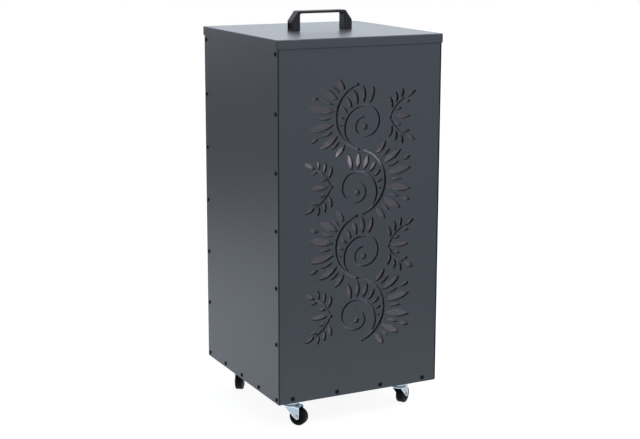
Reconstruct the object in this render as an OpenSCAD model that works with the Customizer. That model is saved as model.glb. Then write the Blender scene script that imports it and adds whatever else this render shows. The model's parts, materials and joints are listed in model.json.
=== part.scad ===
// Pellet storage bin: a sheet-steel box on four swivel casters, with a lift-off lid.
// Millimetres, +Z up, the front faces -Y, and the origin is on the floor under the middle.

/* [Body] */
// Width over the side panels
body_w = 380; // [320:5:480]
// Depth over the front and rear panels
body_d = 380; // [320:5:480]
// Height from the underside of the base tray to the top of the lid
body_h = 760; // [600:5:900]
// Thickness of the panel, tray and rail steel
sheet_t = 1.5; // [1:0.1:2]
// Outer radius of a folded edge
bend_r = 3; // [2.1:0.1:3.5]
// Depth of the flanges folded back along the sides of the front and rear panels
side_flange = 20; // [18:0.5:26]
// Depth of the flanges folded in along the top of each panel
top_flange = 15; // [12:0.5:16]
// Height of the upturned flanges of the base tray
tray_flange = 20; // [18:0.5:26]

/* [Lid] */
// Thickness of the lid steel
lid_t = 1.2; // [1:0.1:1.6]
// How far the lid stands proud of the panels on each side
lid_overhang = 2.4; // [2.3:0.1:4]
// Height of the lid skirt
lid_skirt = 18.5; // [14:0.5:22]
// Outer radius of the folded lid edge
lid_bend_r = 2.0; // [2:0.1:3]

/* [Handle] */
// Length of the handle
handle_l = 144; // [120:1:180]
// Height of the handle
handle_h = 42; // [36:1:55]
// Depth of the handle
handle_d = 23.5; // [18:0.5:30]
// Length of each foot of the handle
handle_foot = 19.5; // [16:0.5:24]
// Thickness of the grip bar
handle_bar = 5.6; // [4:0.1:8]
// Width of the slope at each end
handle_slope_w = 15.6; // [8:0.2:18]
// Height of the slope at each end
handle_slope_h = 21.4; // [12:0.2:26]

/* [Fasteners] */
// Distance of the screw rows from the panel edges
screw_inset = 10; // [9:0.5:12]
// Distance of the top screws below the top of the lid
screw_drop = 29; // [26:1:60]
// Number of screws in each upright row of a side panel
column_count = 7; // [4:1:9]
// Number of screws along the bottom of a side panel
side_row_count = 5; // [3:1:7]
// Number of screws along the bottom of the front and rear panels
front_row_count = 4; // [3:1:6]
// Distance of the outer front screws from the side edges
front_row_inset = 33; // [26:1:80]
// Diameter of the panel screw shank
screw_d = 5; // [4:0.5:6]
// Diameter of the panel screw head
screw_head_d = 9.8; // [8:0.1:12]
// Height of the panel screw head
screw_head_h = 2.6; // [2:0.1:3.5]
// Length of the panel screw shank
screw_l = 12; // [10:0.5:14]
// Diameter of the rivet nut barrel
nut_barrel_d = 7; // [6.8:0.1:8.4]
// Length of the rivet nut behind the outer face of its flange
nut_barrel_l = 10.5; // [9:0.5:12]

/* [Window] */
// Distance from the ornament's zone to the side edges
decor_side = 52; // [46:1:90]
// Distance from the ornament's zone to the underside of the tray
decor_low = 103; // [60:1:140]
// Distance from the ornament's zone to the top of the lid
decor_top = 83; // [60:1:140]
// Number of scrolls stacked up the ornament
scroll_count = 4; // [3:1:5]
// Width of the cut that draws a stem
stem_w = 5; // [3:0.25:6]
// Thickness of the clear pane
pane_t = 3; // [2:0.5:4]
// Thickness of the strip between panel and pane
gasket_t = 1; // [0.5:0.5:3]
// Width of the strip between panel and pane
gasket_w = 12; // [8:1:16]
// Margin of the pane round the ornament
pane_margin = 17; // [13:1:18]

/* [Casters] */
// Height of a caster from the floor to the top of its plate
caster_h = 54.5; // [48:0.5:60]
// Distance of the swivel axes from the edges of the body
caster_inset = 57; // [56:1:80]
// Trail of the wheel behind the swivel axis
trail = 18; // [14:0.5:22]
// Diameter of the wheel
wheel_d = 38; // [34:0.5:40]
// Width of the tread
wheel_w = 17; // [14:0.5:18]
// Diameter of the wheel hub inside the tread
hub_d = 27; // [22:0.5:30]
// Diameter of the axle
axle_d = 6; // [5:0.5:8]
// Side of the square top plate
plate_w = 46; // [44:1:54]
// Thickness of the top plate
plate_t = 2; // [1.6:0.1:3]
// Spacing of the plate bolts
plate_pitch = 34; // [33:0.5:40]
// Diameter of the plate bolts
bolt_d = 5; // [4:0.5:6]
// Thickness of the fork steel
fork_t = 1.8; // [1.5:0.1:2.2]
// Diameter of the kingpin
kingpin_d = 8; // [6:0.5:9]
// Diameter of a bearing ball
ball_d = 2.8; // [2:0.1:3]
// Number of bearing balls
ball_count = 14; // [8:1:16]

/* [Rails] */
// Height of the rails that carry the casters
rail_h = 11.5; // [9:0.5:20]
// Width of the rail's lower face
rail_w = 50; // [48:1:60]
// Width of each upper flange of a rail
rail_flange = 13; // [11:0.5:16]
// Distance from each end of a rail to the face of the body
rail_end = 32; // [26:1:33]

/* [Hidden] */
$fn = 48;

// Fits and small clearances
eps = 0.01;
cut_over = 1;
bolt_clear = 0.25;
thread_clear = 0.05;
pin_clear = 0.06;
fold_gap = 1.5;
relief_h = 18;
pane_gap = 0.5;
race_gap = 0.3;
ball_clear = 0.3;

// Levels above the floor
rail_z = caster_h;
base_z = rail_z + rail_h;
floor_z = base_z + sheet_t;
lid_z = base_z + body_h;
panel_top = lid_z - lid_t;
screw_low_z = base_z + screw_inset;
screw_high_z = lid_z - screw_drop;

// Half sizes and faces
half_w = body_w / 2;
half_d = body_d / 2;
inner_x = half_w - sheet_t;
inner_y = half_d - sheet_t;
tray_flange_y = half_d - side_flange - fold_gap * 2;
flange_inner_x = inner_x - sheet_t;
flange_cut_x = flange_inner_x - fold_gap;
front_row_half = half_w - front_row_inset;
caster_x = half_w - caster_inset;
caster_y = half_d - caster_inset;
rail_l = body_d - 2 * rail_end;

// Window stack, measured back from the front face
decor_w = body_w - 2 * decor_side;
decor_h = body_h - decor_low - decor_top;
pane_front = -inner_y + gasket_t;
pane_back = pane_front + pane_t;
pane_w = decor_w + 2 * pane_margin;
pane_h = decor_h + 2 * pane_margin;
pane_low = base_z + decor_low - pane_margin;
retainer_lip = 9;
retainer_foot = 13;
stud_d = 4;
stud_l = 6.6;
stud_x = pane_w / 2 + pane_gap + sheet_t + (retainer_foot - sheet_t) / 2;
stud_rows = 4;
stud_nut_d = 7.6;
stud_nut_h = 3.2;
stud_side_z = [for (i = [0 : stud_rows - 1]) pane_h * (i + 0.5) / stud_rows];
lower_l = pane_w - 2 * retainer_lip - 2 * fold_gap;
stud_low_x = [lower_l / 4, 3 * lower_l / 4];

// Ornament as drawn; the whole is then scaled evenly to fit its zone
drawn_w = 276;
drawn_pitch = 137.5;
drawn_end = 12;
drawn_h = drawn_pitch * scroll_count + 2 * drawn_end;
decor_fit = min(decor_w / drawn_w, decor_h / drawn_h);
scroll_r = 69.8;
scroll_half = asin(drawn_pitch / 2 / scroll_r);
volute_r = [46, 32.3, 20.6];
volute_w = [4, 3.5, 3];
bulb_share = 0.6;
web = 3;
berry_r = 6.5;
bud_r = 4;

// Leaves outside a scroll: angle either way, distance from its rim, length, width
scroll_leaves = [
    [10, 0, 60, 17],
    [30, 0, 50, 16],
    [49, 0, 34, 13],
    [20, 6, 30, 7],
    [20, 42, 22, 9],
    [39, 4, 26, 6]
];
middle_leaf = [6, 30, 7];

// Leaves in the crescent between a scroll and its volute
crescent_from = 8;
crescent_step = 16;
crescent_count = 7;
crescent_w = 12;
crescent_slim = 0.36;

// Bud on the left of a volute: its single leaf, and the two sprigs that spread from it
bud_rise = 18.4;
bud_leaf = [42, 12];
bud_gap = 1;
sprig_angle = 116;
sprig_bend = 70;
sprig_sweep = 36;
sprig_places = 3;
sprig_first = 0.5;
sprig_leaf = [27, 9.5];
sprig_stem_w = 3;
outer_leaf_angle = -48;
inner_leaf_angle = 44;
inner_leaf_share = [0.62, 0.7];
leaf_taper = 0.12;

// Colours
steel_paint = [0.27, 0.29, 0.32];
zinc = [0.74, 0.80, 0.84];
black_plastic = [0.05, 0.05, 0.06];
rubber_black = [0.04, 0.04, 0.04];

// Casters: place, then the angle at which the wheel trails
caster_at = [
    [-caster_x, -caster_y, -53],
    [caster_x, -caster_y, 36],
    [-caster_x, caster_y, -125],
    [caster_x, caster_y, 158]
];
wheel_r = wheel_d / 2;
plate_low = caster_h - plate_t;
crown_top = wheel_d + 5.5;
crown_low = crown_top - fork_t;
race_r = 12;
race_half = 3;
cup_wall = 1.6;
cup_r = race_r + race_half + cup_wall + race_gap;
lower_race_top = crown_top + 1.4;
ball_z = lower_race_top + ball_d / 2 + ball_clear;
upper_race_low = ball_z + ball_d / 2;
kingpin_head_r = kingpin_d / 2 + 3;
kingpin_head_h = 1.2;
kingpin_foot_h = 3.2;
leg_gap = 0.8;
leg_in = wheel_w / 2 + leg_gap;
leg_out = leg_in + fork_t;
leg_tip_r = 5.2;
leg_back = 10;
leg_front = trail + leg_tip_r;
crown_r = 17.5;
crown_drop = 6;
axle_head_r = axle_d / 2 + 1.6;
axle_head_h = 1.2;
bolt_head_d = 8.6;
bolt_head_h = 2.4;
bolt_nut_d = 9;
bolt_nut_h = 4;
rivet_d = 4;
rivet_head_d = 7.6;
rivet_head_h = 1.2;
rivet_x = rail_w / 2 + (rail_flange + sheet_t) / 2;
rivet_pitch = rail_l / 3;
sleeve_r = axle_d / 2 + 3;
hub_rim = 3;
hub_face = wheel_w / 2 + leg_gap * 0.6;
hub_dish = 2;
tread_round = 1.8;

// Screws and rivet nuts
socket_share = 0.62;
socket_floor = 0.35;
nut_bulge_d = nut_barrel_d + 2.2;
nut_bulge_h = 2.4;
washer_t = 1;
washer_d = screw_head_d + 4;
handle_screw_pitch = handle_l - handle_foot;
handle_hole_h = handle_h * 0.42;

function spread(n, half) = [for (i = [0 : n - 1]) -half + 2 * half * i / (n - 1)];
column_z = [for (i = [0 : column_count - 1])
    screw_low_z + (screw_high_z - screw_low_z) * i / (column_count - 1)];
side_row_y = spread(side_row_count, half_d - screw_inset);
front_row_x = spread(front_row_count, front_row_half);

// Where the screws of a side panel sit: two upright rows and the row between their feet
side_places = concat(
    [for (s = [-1, 1]) for (z = column_z) [s * (half_d - screw_inset), z]],
    [for (i = [1 : side_row_count - 2]) [side_row_y[i], screw_low_z]]
);
front_places = [for (x = front_row_x) [x, screw_low_z]];

// Solid lying along +X, used for everything that is drilled through a side panel
module along_x() {
    rotate([0, 90, 0]) children();
}

module along_y() {
    rotate([-90, 0, 0]) children();
}

// A box given by its two opposite corners
module span(lo, hi) {
    translate(lo) cube([hi[0] - lo[0], hi[1] - lo[1], hi[2] - lo[2]]);
}

// Outline of a folded panel: a flat with two rounded folds at its front corners
module fold_outline(half, depth, r) {
    translate([-half + r, 0]) square([2 * half - 2 * r, depth]);
    translate([-half, r]) square([2 * half, depth - r]);
    for (s = [-1, 1]) translate([s * (half - r), r]) circle(r);
}

// Front or rear panel: a flat with side flanges and a top flange, facing -Y. Near the top the
// side flanges are only as deep as the top flange, which keeps the mouth clear.
module folded_panel() {
    wall = floor_z;
    tall = panel_top - wall;
    difference() {
        translate([0, -half_d, wall]) linear_extrude(tall) difference() {
            fold_outline(inner_x, side_flange, bend_r);
            translate([0, sheet_t]) fold_outline(flange_inner_x, side_flange, bend_r - sheet_t);
        }
        span([-half_w, -half_d + top_flange, panel_top - relief_h],
            [half_w, -half_d + side_flange + cut_over, panel_top + cut_over]);
    }
    span([-flange_inner_x, -half_d + sheet_t - eps, panel_top - sheet_t],
        [flange_inner_x, -half_d + top_flange, panel_top]);
}

// Screw holes of a front or rear panel
module panel_holes() {
    for (p = front_places) translate([p[0], -half_d - cut_over, p[1]]) along_y()
        cylinder(d = screw_d + 2 * bolt_clear, h = sheet_t + 2 * cut_over);
    for (s = [-1, 1]) for (z = column_z)
        translate([s * (flange_inner_x - cut_over), -half_d + screw_inset, z]) along_x()
            cylinder(d = nut_barrel_d, h = 2 * (sheet_t + 2 * cut_over), center = true);
}

// A pointed leaf that starts at the origin and runs along +X
module leaf(l, w) {
    r = (l * l + w * w) / (4 * w);
    intersection() {
        translate([l / 2, r - w / 2]) circle(r, $fn = 96);
        translate([l / 2, w / 2 - r]) circle(r, $fn = 96);
    }
}

// A stem of even width bent to a radius, with a small bulb at each end
module stem(r, from, to, w) {
    far = 1.3 * (r + w);
    sides = 6;
    intersection() {
        difference() {
            circle(r + w / 2, $fn = 96);
            circle(r - w / 2, $fn = 96);
        }
        polygon(concat([[0, 0]], [for (i = [0 : sides])
            let (a = from + (to - from) * i / sides) far * [cos(a), sin(a)]]));
    }
    for (a = [from, to]) translate([r * cos(a), r * sin(a)]) circle(w * bulb_share);
}

// A curved sprig that starts at the origin and heads along +X, bending to the left.
// Every place has a leaf on the outside of the bend, and every other one on the inside.
module sprig() {
    r = sprig_bend;
    off = sprig_stem_w / 2 + web;
    translate([0, r]) stem(r, -90, -90 + sprig_sweep, sprig_stem_w);
    for (i = [0 : sprig_places - 1]) {
        t = sprig_sweep * (i + sprig_first) / sprig_places;
        shorter = 1 - leaf_taper * i;
        translate([r * sin(t), r - r * cos(t)]) rotate(t) {
            rotate(outer_leaf_angle) translate([off, 0])
                leaf(sprig_leaf[0] * shorter, sprig_leaf[1] * shorter);
            if (i % 2 == 0) rotate(inner_leaf_angle) translate([off, 0])
                leaf(sprig_leaf[0] * inner_leaf_share[0], sprig_leaf[1] * inner_leaf_share[1]);
        }
    }
    translate([r * sin(sprig_sweep), r - r * cos(sprig_sweep)]) rotate(sprig_sweep)
        translate([off, 0]) leaf(sprig_leaf[0], sprig_leaf[1]);
}

// Distance from a point to a circle of radius r round the origin, towards angle a
function reach(from, r, a) =
    let (along = from[0] * cos(a) + from[1] * sin(a))
    -along + sqrt(along * along - from[0] * from[0] - from[1] * from[1] + r * r);

// One scroll of the ornament: a stem that swings to the right round a volute, with
// leaves outside it, leaves in the crescent between the two, and sprigs on the left
module scroll() {
    c = [-scroll_r * cos(scroll_half), 0];
    lean = -scroll_half;
    way = [cos(lean), sin(lean)];
    c1 = c + (scroll_r - volute_r[0]) * way;
    c2 = c1 - (volute_r[0] - volute_r[1]) * way;
    c3 = c2 + (volute_r[1] - volute_r[2]) * way;
    rim = scroll_r + stem_w / 2 + web;
    translate(c) {
        stem(scroll_r, lean + 5, scroll_half - 7, stem_w);
        for (row = scroll_leaves) for (s = [-1, 1])
            rotate(s * row[0]) translate([rim + row[1], 0]) leaf(row[2], row[3]);
        translate([rim + middle_leaf[0], 0]) leaf(middle_leaf[1], middle_leaf[2]);
    }
    translate(c1) stem(volute_r[0], lean + 9, lean + 180, volute_w[0]);
    translate(c2) stem(volute_r[1], lean + 180, lean + 360, volute_w[1]);
    translate(c3) {
        stem(volute_r[2], lean, lean + 162, volute_w[2]);
        circle(berry_r);
    }
    foot = volute_r[0] + volute_w[0] / 2 + web;
    for (k = [0 : crescent_count - 1]) {
        a = crescent_from + crescent_step * k;
        room = reach(c1 - c, scroll_r - stem_w / 2, a) - foot - web;
        translate(c1) rotate(a) translate([foot, 0])
            leaf(room, min(crescent_w, room * crescent_slim));
    }
    translate(c1 - [volute_r[0] + stem_w + web + berry_r, -bud_rise]) {
        circle(bud_r);
        rotate(180) translate([berry_r + bud_gap, 0]) leaf(bud_leaf[0], bud_leaf[1]);
        for (s = [0, 1]) mirror([0, s])
            rotate(sprig_angle) translate([berry_r + bud_gap, 0]) sprig();
    }
}

// The whole cut ornament: scrolls that swing right and left in turn
module ornament() {
    scale(decor_fit) for (i = [0 : scroll_count - 1])
        translate([0, drawn_pitch * (i + 0.5 - scroll_count / 2)])
            mirror([i % 2, 0]) scroll();
}

module front_panel() {
    color(steel_paint) difference() {
        folded_panel();
        panel_holes();
        translate([0, -half_d + sheet_t + cut_over, base_z + decor_low + decor_h / 2])
            rotate([90, 0, 0]) linear_extrude(sheet_t + 2 * cut_over) ornament();
    }
}

module rear_panel() {
    color(steel_paint) rotate(180) difference() {
        folded_panel();
        panel_holes();
    }
}

// Side panel: a flat that runs the full depth, with a top flange; side is -1 or 1
module side_panel(side) {
    color(steel_paint) mirror([side < 0 ? 1 : 0, 0, 0]) difference() {
        union() {
            span([inner_x, -half_d, floor_z], [half_w, half_d, panel_top]);
            span([half_w - top_flange, -tray_flange_y, panel_top - sheet_t],
                [inner_x + eps, tray_flange_y, panel_top]);
        }
        for (p = side_places) translate([inner_x - cut_over, p[0], p[1]]) along_x()
            cylinder(d = screw_d + 2 * bolt_clear, h = sheet_t + 2 * cut_over);
    }
}

module base_tray() {
    color(steel_paint) difference() {
        union() {
            span([-inner_x, -inner_y, base_z], [inner_x, inner_y, floor_z]);
            for (s = [0, 1]) rotate(180 * s) {
                span([-flange_cut_x, -inner_y, floor_z - eps],
                    [flange_cut_x, -inner_y + sheet_t, base_z + tray_flange]);
                span([inner_x - sheet_t, -tray_flange_y, floor_z - eps],
                    [inner_x, tray_flange_y, base_z + tray_flange]);
            }
        }
        for (s = [0, 1]) rotate(180 * s) {
            for (p = front_places) translate([p[0], -inner_y - cut_over, p[1]]) along_y()
                cylinder(d = nut_barrel_d, h = sheet_t + 2 * cut_over);
            for (i = [1 : side_row_count - 2])
                translate([flange_inner_x - cut_over, side_row_y[i], screw_low_z]) along_x()
                    cylinder(d = nut_barrel_d, h = sheet_t + 2 * cut_over);
        }
        rivet_places() translate([0, 0, base_z - cut_over])
            cylinder(d = rivet_d, h = sheet_t + 2 * cut_over);
    }
}

// Repeats its children at each rivet that holds the rails to the tray
module rivet_places() {
    for (sx = [-1, 1]) for (sr = [-1, 1]) for (k = [-1, 0, 1])
        translate([sx * caster_x + sr * rivet_x, k * rivet_pitch, 0]) children();
}

// Hat-section rail under the tray that carries two casters; side is -1 or 1
module caster_rail(side) {
    wide = rail_w / 2;
    color(steel_paint) translate([side * caster_x, 0, 0]) difference() {
        union() {
            span([-wide, -rail_l / 2, rail_z], [wide, rail_l / 2, rail_z + sheet_t]);
            for (s = [-1, 1]) {
                translate([s * (wide - sheet_t / 2), 0, rail_z + rail_h / 2])
                    cube([sheet_t, rail_l, rail_h], center = true);
                translate([s * (wide + rail_flange / 2 - eps / 2), 0, base_z - sheet_t / 2])
                    cube([rail_flange + eps, rail_l, sheet_t], center = true);
            }
        }
        for (sy = [-1, 1]) translate([0, sy * caster_y, rail_z - cut_over]) {
            cylinder(r = kingpin_head_r + fold_gap, h = sheet_t + 2 * cut_over);
            bolt_places() cylinder(d = bolt_d + 2 * bolt_clear, h = sheet_t + 2 * cut_over);
        }
        for (s = [-1, 1]) for (k = [-1, 0, 1])
            translate([s * rivet_x, k * rivet_pitch, base_z - sheet_t - cut_over])
                cylinder(d = rivet_d, h = sheet_t + 2 * cut_over);
    }
}

module rail_rivets() {
    color(steel_paint) rivet_places() {
        translate([0, 0, base_z - sheet_t - rivet_head_h])
            cylinder(d = rivet_head_d, h = rivet_head_h);
        translate([0, 0, base_z - sheet_t - eps])
            cylinder(d = rivet_d - 2 * thread_clear, h = 2 * sheet_t + 2 * eps);
        translate([0, 0, floor_z]) cylinder(d = rivet_head_d, h = rivet_head_h);
    }
}

module window_pane() {
    color([0.35, 0.34, 0.38, 0.5])
        span([-pane_w / 2, pane_front, pane_low], [pane_w / 2, pane_back, pane_low + pane_h]);
}

module pane_gasket() {
    color(rubber_black) difference() {
        span([-pane_w / 2, -inner_y, pane_low], [pane_w / 2, pane_front, pane_low + pane_h]);
        span([-pane_w / 2 + gasket_w, -inner_y - cut_over, pane_low + gasket_w],
            [pane_w / 2 - gasket_w, pane_front + cut_over, pane_low + pane_h - gasket_w]);
    }
}

// Z-section strip of the given length that clamps one pane edge, drawn along +Z.
// The pane lies on its -X side and the panel on its -Y side.
module retainer(l, holes) {
    deep = pane_back + inner_y;
    difference() {
        union() {
            cube([sheet_t, deep + sheet_t, l]);
            cube([retainer_foot, sheet_t, l]);
            translate([-retainer_lip, deep, 0]) cube([retainer_lip + sheet_t, sheet_t, l]);
        }
        for (z = holes) translate([(retainer_foot + sheet_t) / 2, -cut_over, z]) along_y()
            cylinder(d = stud_d + 2 * bolt_clear, h = sheet_t + 2 * cut_over);
    }
}

module side_retainer(side) {
    color(steel_paint) mirror([side < 0 ? 1 : 0, 0, 0])
        translate([pane_w / 2 + pane_gap, -inner_y, pane_low])
            retainer(pane_h, stud_side_z);
}

module lower_pane_retainer() {
    color(steel_paint) translate([-lower_l / 2, -inner_y, pane_low - pane_gap])
        rotate([0, 90, 0]) retainer(lower_l, stud_low_x);
}

// Repeats its children at each welded stud, with the stud's foot at the origin, along +Y
module stud_places() {
    for (s = [-1, 1]) for (z = stud_side_z)
        translate([s * stud_x, -inner_y, pane_low + z]) children();
    for (x = stud_low_x)
        translate([x - lower_l / 2, -inner_y,
            pane_low - pane_gap - (retainer_foot + sheet_t) / 2]) children();
}

module pane_studs() {
    color(zinc) stud_places() along_y() cylinder(d = stud_d, h = stud_l);
}

module pane_nuts() {
    color(zinc) stud_places() translate([0, sheet_t, 0]) along_y() difference() {
        cylinder(d = stud_nut_d, h = stud_nut_h, $fn = 6);
        translate([0, 0, -cut_over])
            cylinder(d = stud_d + 2 * thread_clear, h = stud_nut_h + 2 * cut_over);
    }
}

// Button-head screw with a hexagon socket: the head stands on z = 0, the shank hangs below
module button_screw(d, l, head_d, head_h) {
    crown = (head_d * head_d / 4 + head_h * head_h) / (2 * head_h);
    difference() {
        union() {
            intersection() {
                translate([0, 0, head_h - crown]) sphere(crown);
                cylinder(d = head_d, h = head_h);
            }
            translate([0, 0, -l]) cylinder(d = d, h = l + eps);
        }
        translate([0, 0, head_h * socket_floor])
            cylinder(d = d * socket_share, h = head_h, $fn = 6);
    }
}

module front_screws() {
    color(black_plastic) for (p = front_places)
        translate([p[0], -half_d, p[1]]) rotate([90, 0, 0])
            button_screw(screw_d, screw_l, screw_head_d, screw_head_h);
}

module side_screws(side) {
    color(black_plastic) for (p = side_places)
        translate([side * half_w, p[0], p[1]]) rotate([0, side * 90, 0])
            button_screw(screw_d, screw_l, screw_head_d, screw_head_h);
}

// Rivet nut seen along +Z: a flush barrel through the flange and a bulge behind it
module rivet_nut() {
    difference() {
        union() {
            cylinder(d = nut_barrel_d - 2 * thread_clear, h = nut_barrel_l);
            translate([0, 0, sheet_t]) cylinder(d = nut_bulge_d, h = nut_bulge_h);
        }
        translate([0, 0, -cut_over])
            cylinder(d = screw_d + 2 * thread_clear, h = nut_barrel_l + 2 * cut_over);
    }
}

module front_rivet_nuts() {
    color(zinc) for (p = front_places)
        translate([p[0], -inner_y, p[1]]) along_y() rivet_nut();
}

module side_rivet_nuts(side) {
    color(zinc) for (p = side_places)
        translate([side * inner_x, p[0], p[1]]) rotate([0, -side * 90, 0]) rivet_nut();
}

// Block with rounded upper edges, from two crossed outlines
module crowned_block(hx, hy, z0, z1, r) {
    intersection() {
        translate([0, hy, 0]) rotate([90, 0, 0]) linear_extrude(2 * hy)
            crowned_outline(hx, z0, z1, r);
        translate([-hx, 0, 0]) rotate([90, 0, 90]) linear_extrude(2 * hx)
            crowned_outline(hy, z0, z1, r);
    }
}

module crowned_outline(half, z0, z1, r) {
    translate([-half, z0]) square([2 * half, z1 - z0 - r]);
    translate([-half + r, z0]) square([2 * half - 2 * r, z1 - z0]);
    for (s = [-1, 1]) translate([s * (half - r), z1 - r]) circle(r);
}

module lid() {
    hx = half_w + lid_overhang;
    hy = half_d + lid_overhang;
    color(steel_paint) difference() {
        crowned_block(hx, hy, lid_z - lid_skirt, lid_z, lid_bend_r);
        crowned_block(hx - lid_t, hy - lid_t, lid_z - lid_skirt - cut_over,
            lid_z - lid_t, lid_bend_r - lid_t);
        for (s = [-1, 1]) translate([s * handle_screw_pitch / 2, 0, lid_z - lid_t - cut_over])
            cylinder(d = screw_d + 2 * bolt_clear, h = lid_t + 2 * cut_over);
    }
}

// Bridge handle with a finger gap and sloped ends
module lid_handle() {
    a = handle_l / 2;
    b = a - handle_foot;
    color(black_plastic) translate([0, 0, lid_z]) difference() {
        translate([0, handle_d / 2, 0]) rotate([90, 0, 0]) linear_extrude(handle_d) polygon([
            [-a, 0], [-a, handle_h - handle_slope_h], [-a + handle_slope_w, handle_h],
            [a - handle_slope_w, handle_h], [a, handle_h - handle_slope_h], [a, 0],
            [b, 0], [b, handle_h - handle_bar], [-b, handle_h - handle_bar], [-b, 0]
        ]);
        for (s = [-1, 1]) translate([s * handle_screw_pitch / 2, 0, -cut_over])
            cylinder(d = screw_d + 2 * thread_clear, h = handle_hole_h + cut_over);
    }
}

module handle_screws() {
    color(black_plastic) for (s = [-1, 1])
        translate([s * handle_screw_pitch / 2, 0, lid_z - lid_t - washer_t])
            rotate([180, 0, 0]) button_screw(screw_d, screw_l + washer_t, screw_head_d,
                screw_head_h);
}

module handle_washers() {
    color(zinc) for (s = [-1, 1])
        translate([s * handle_screw_pitch / 2, 0, lid_z - lid_t - washer_t]) difference() {
            cylinder(d = washer_d, h = washer_t);
            translate([0, 0, -cut_over])
                cylinder(d = screw_d + 2 * bolt_clear, h = washer_t + 2 * cut_over);
        }
}

// Moves its children to a caster; turned gives the swivelling parts their angle
module at_caster(i, turned) {
    translate([caster_at[i][0], caster_at[i][1], 0])
        rotate(turned ? caster_at[i][2] : 0) children();
}

// Repeats its children at the four bolts of a caster plate
module bolt_places() {
    for (sx = [-1, 1]) for (sy = [-1, 1])
        translate([sx * plate_pitch / 2, sy * plate_pitch / 2, 0]) children();
}

// Top plate with its pressed upper race and dust skirt
module caster_plate(i) {
    color(zinc) at_caster(i, false) difference() {
        union() {
            translate([-plate_w / 2, -plate_w / 2, plate_low]) cube([plate_w, plate_w, plate_t]);
            translate([0, 0, ball_z])
                cylinder(r = cup_r, h = plate_low - ball_z + eps);
        }
        translate([0, 0, crown_low])
            cylinder(r = cup_r - cup_wall, h = upper_race_low - crown_low);
        translate([0, 0, crown_low])
            cylinder(d = kingpin_d + 2 * thread_clear, h = caster_h);
        translate([0, 0, plate_low - cut_over]) bolt_places()
            cylinder(d = bolt_d + 2 * bolt_clear, h = plate_t + 2 * cut_over);
    }
}

// Rivet that carries the fork: flat head on the plate, round foot under the crown
module kingpin(i) {
    foot_top = crown_low - race_gap;
    color(zinc) at_caster(i, false) {
        translate([0, 0, foot_top - eps]) cylinder(d = kingpin_d, h = caster_h - foot_top + 2 * eps);
        translate([0, 0, caster_h]) cylinder(r = kingpin_head_r, h = kingpin_head_h);
        translate([0, 0, foot_top - kingpin_foot_h])
            cylinder(r = kingpin_head_r - 1, h = kingpin_foot_h);
    }
}

module balls(i) {
    color(zinc) at_caster(i, false) for (k = [0 : ball_count - 1])
        rotate(360 * k / ball_count) translate([race_r, 0, ball_z]) sphere(d = ball_d);
}

// Side view of a fork leg in the plane of the wheel, with the axle below its front end
module leg_outline() {
    hull() {
        translate([trail, wheel_r]) circle(leg_tip_r, $fn = 32);
        translate([-leg_back, crown_top - crown_drop])
            square([leg_back + leg_front, crown_drop]);
    }
}

module fork(i) {
    color(zinc) at_caster(i, true) difference() {
        union() {
            translate([0, 0, crown_low]) cylinder(r = crown_r, h = fork_t);
            span([-leg_back, -leg_out, crown_low], [leg_front, leg_out, crown_top]);
            translate([0, 0, crown_top - eps])
                cylinder(r = race_r + race_half - race_gap, h = lower_race_top - crown_top + eps);
            for (s = [-1, 1]) translate([0, s * (leg_in + fork_t / 2) + fork_t / 2, 0])
                rotate([90, 0, 0]) linear_extrude(fork_t) leg_outline();
        }
        translate([0, 0, crown_low - cut_over])
            cylinder(d = kingpin_d + 2 * pin_clear, h = caster_h);
        translate([trail, -leg_out - cut_over, wheel_r]) along_y()
            cylinder(d = axle_d + 2 * thread_clear, h = 2 * leg_out + 2 * cut_over);
    }
}

module axle(i) {
    color(zinc) at_caster(i, true) {
        translate([trail, -leg_out - eps, wheel_r]) along_y()
            cylinder(d = axle_d, h = 2 * leg_out + 2 * eps);
        for (s = [-1, 1]) translate([trail, s * (leg_out + axle_head_h / 2), wheel_r])
            along_y() cylinder(r = axle_head_r, h = axle_head_h, center = true);
    }
}

// Hub with a bearing sleeve and a dished web
module hub(i) {
    color(black_plastic) at_caster(i, true) translate([trail, 0, wheel_r]) rotate([90, 0, 0])
        rotate_extrude($fn = 96) difference() {
            union() {
                translate([0, -wheel_w / 2 + hub_dish]) square([hub_d / 2, wheel_w - 2 * hub_dish]);
                translate([hub_d / 2 - hub_rim, -wheel_w / 2]) square([hub_rim, wheel_w]);
                translate([0, -hub_face]) square([sleeve_r, 2 * hub_face]);
            }
            translate([0, -wheel_w]) square([axle_d / 2 + pin_clear, 2 * wheel_w]);
        }
}

module tread(i) {
    r = wheel_r - tread_round;
    h = wheel_w / 2 - tread_round;
    color(rubber_black) at_caster(i, true) translate([trail, 0, wheel_r]) rotate([90, 0, 0])
        rotate_extrude($fn = 96) {
            translate([hub_d / 2, -wheel_w / 2]) square([r - hub_d / 2, wheel_w]);
            translate([hub_d / 2, -h]) square([wheel_r - hub_d / 2, 2 * h]);
            for (s = [-1, 1]) translate([r, s * h]) circle(tread_round);
        }
}

// Bolts up through each caster plate and the rail, with nuts inside the rail
module caster_bolts() {
    color(zinc) for (i = [0 : 3]) at_caster(i, false) bolt_places()
        translate([0, 0, plate_low]) rotate([180, 0, 0])
            button_screw(bolt_d, plate_t + sheet_t + bolt_nut_h + 1, bolt_head_d, bolt_head_h);
}

module caster_nuts() {
    color(zinc) for (i = [0 : 3]) at_caster(i, false) bolt_places()
        translate([0, 0, rail_z + sheet_t]) difference() {
            cylinder(d = bolt_nut_d, h = bolt_nut_h, $fn = 6);
            translate([0, 0, -cut_over])
                cylinder(d = bolt_d + 2 * thread_clear, h = bolt_nut_h + 2 * cut_over);
        }
}

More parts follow.
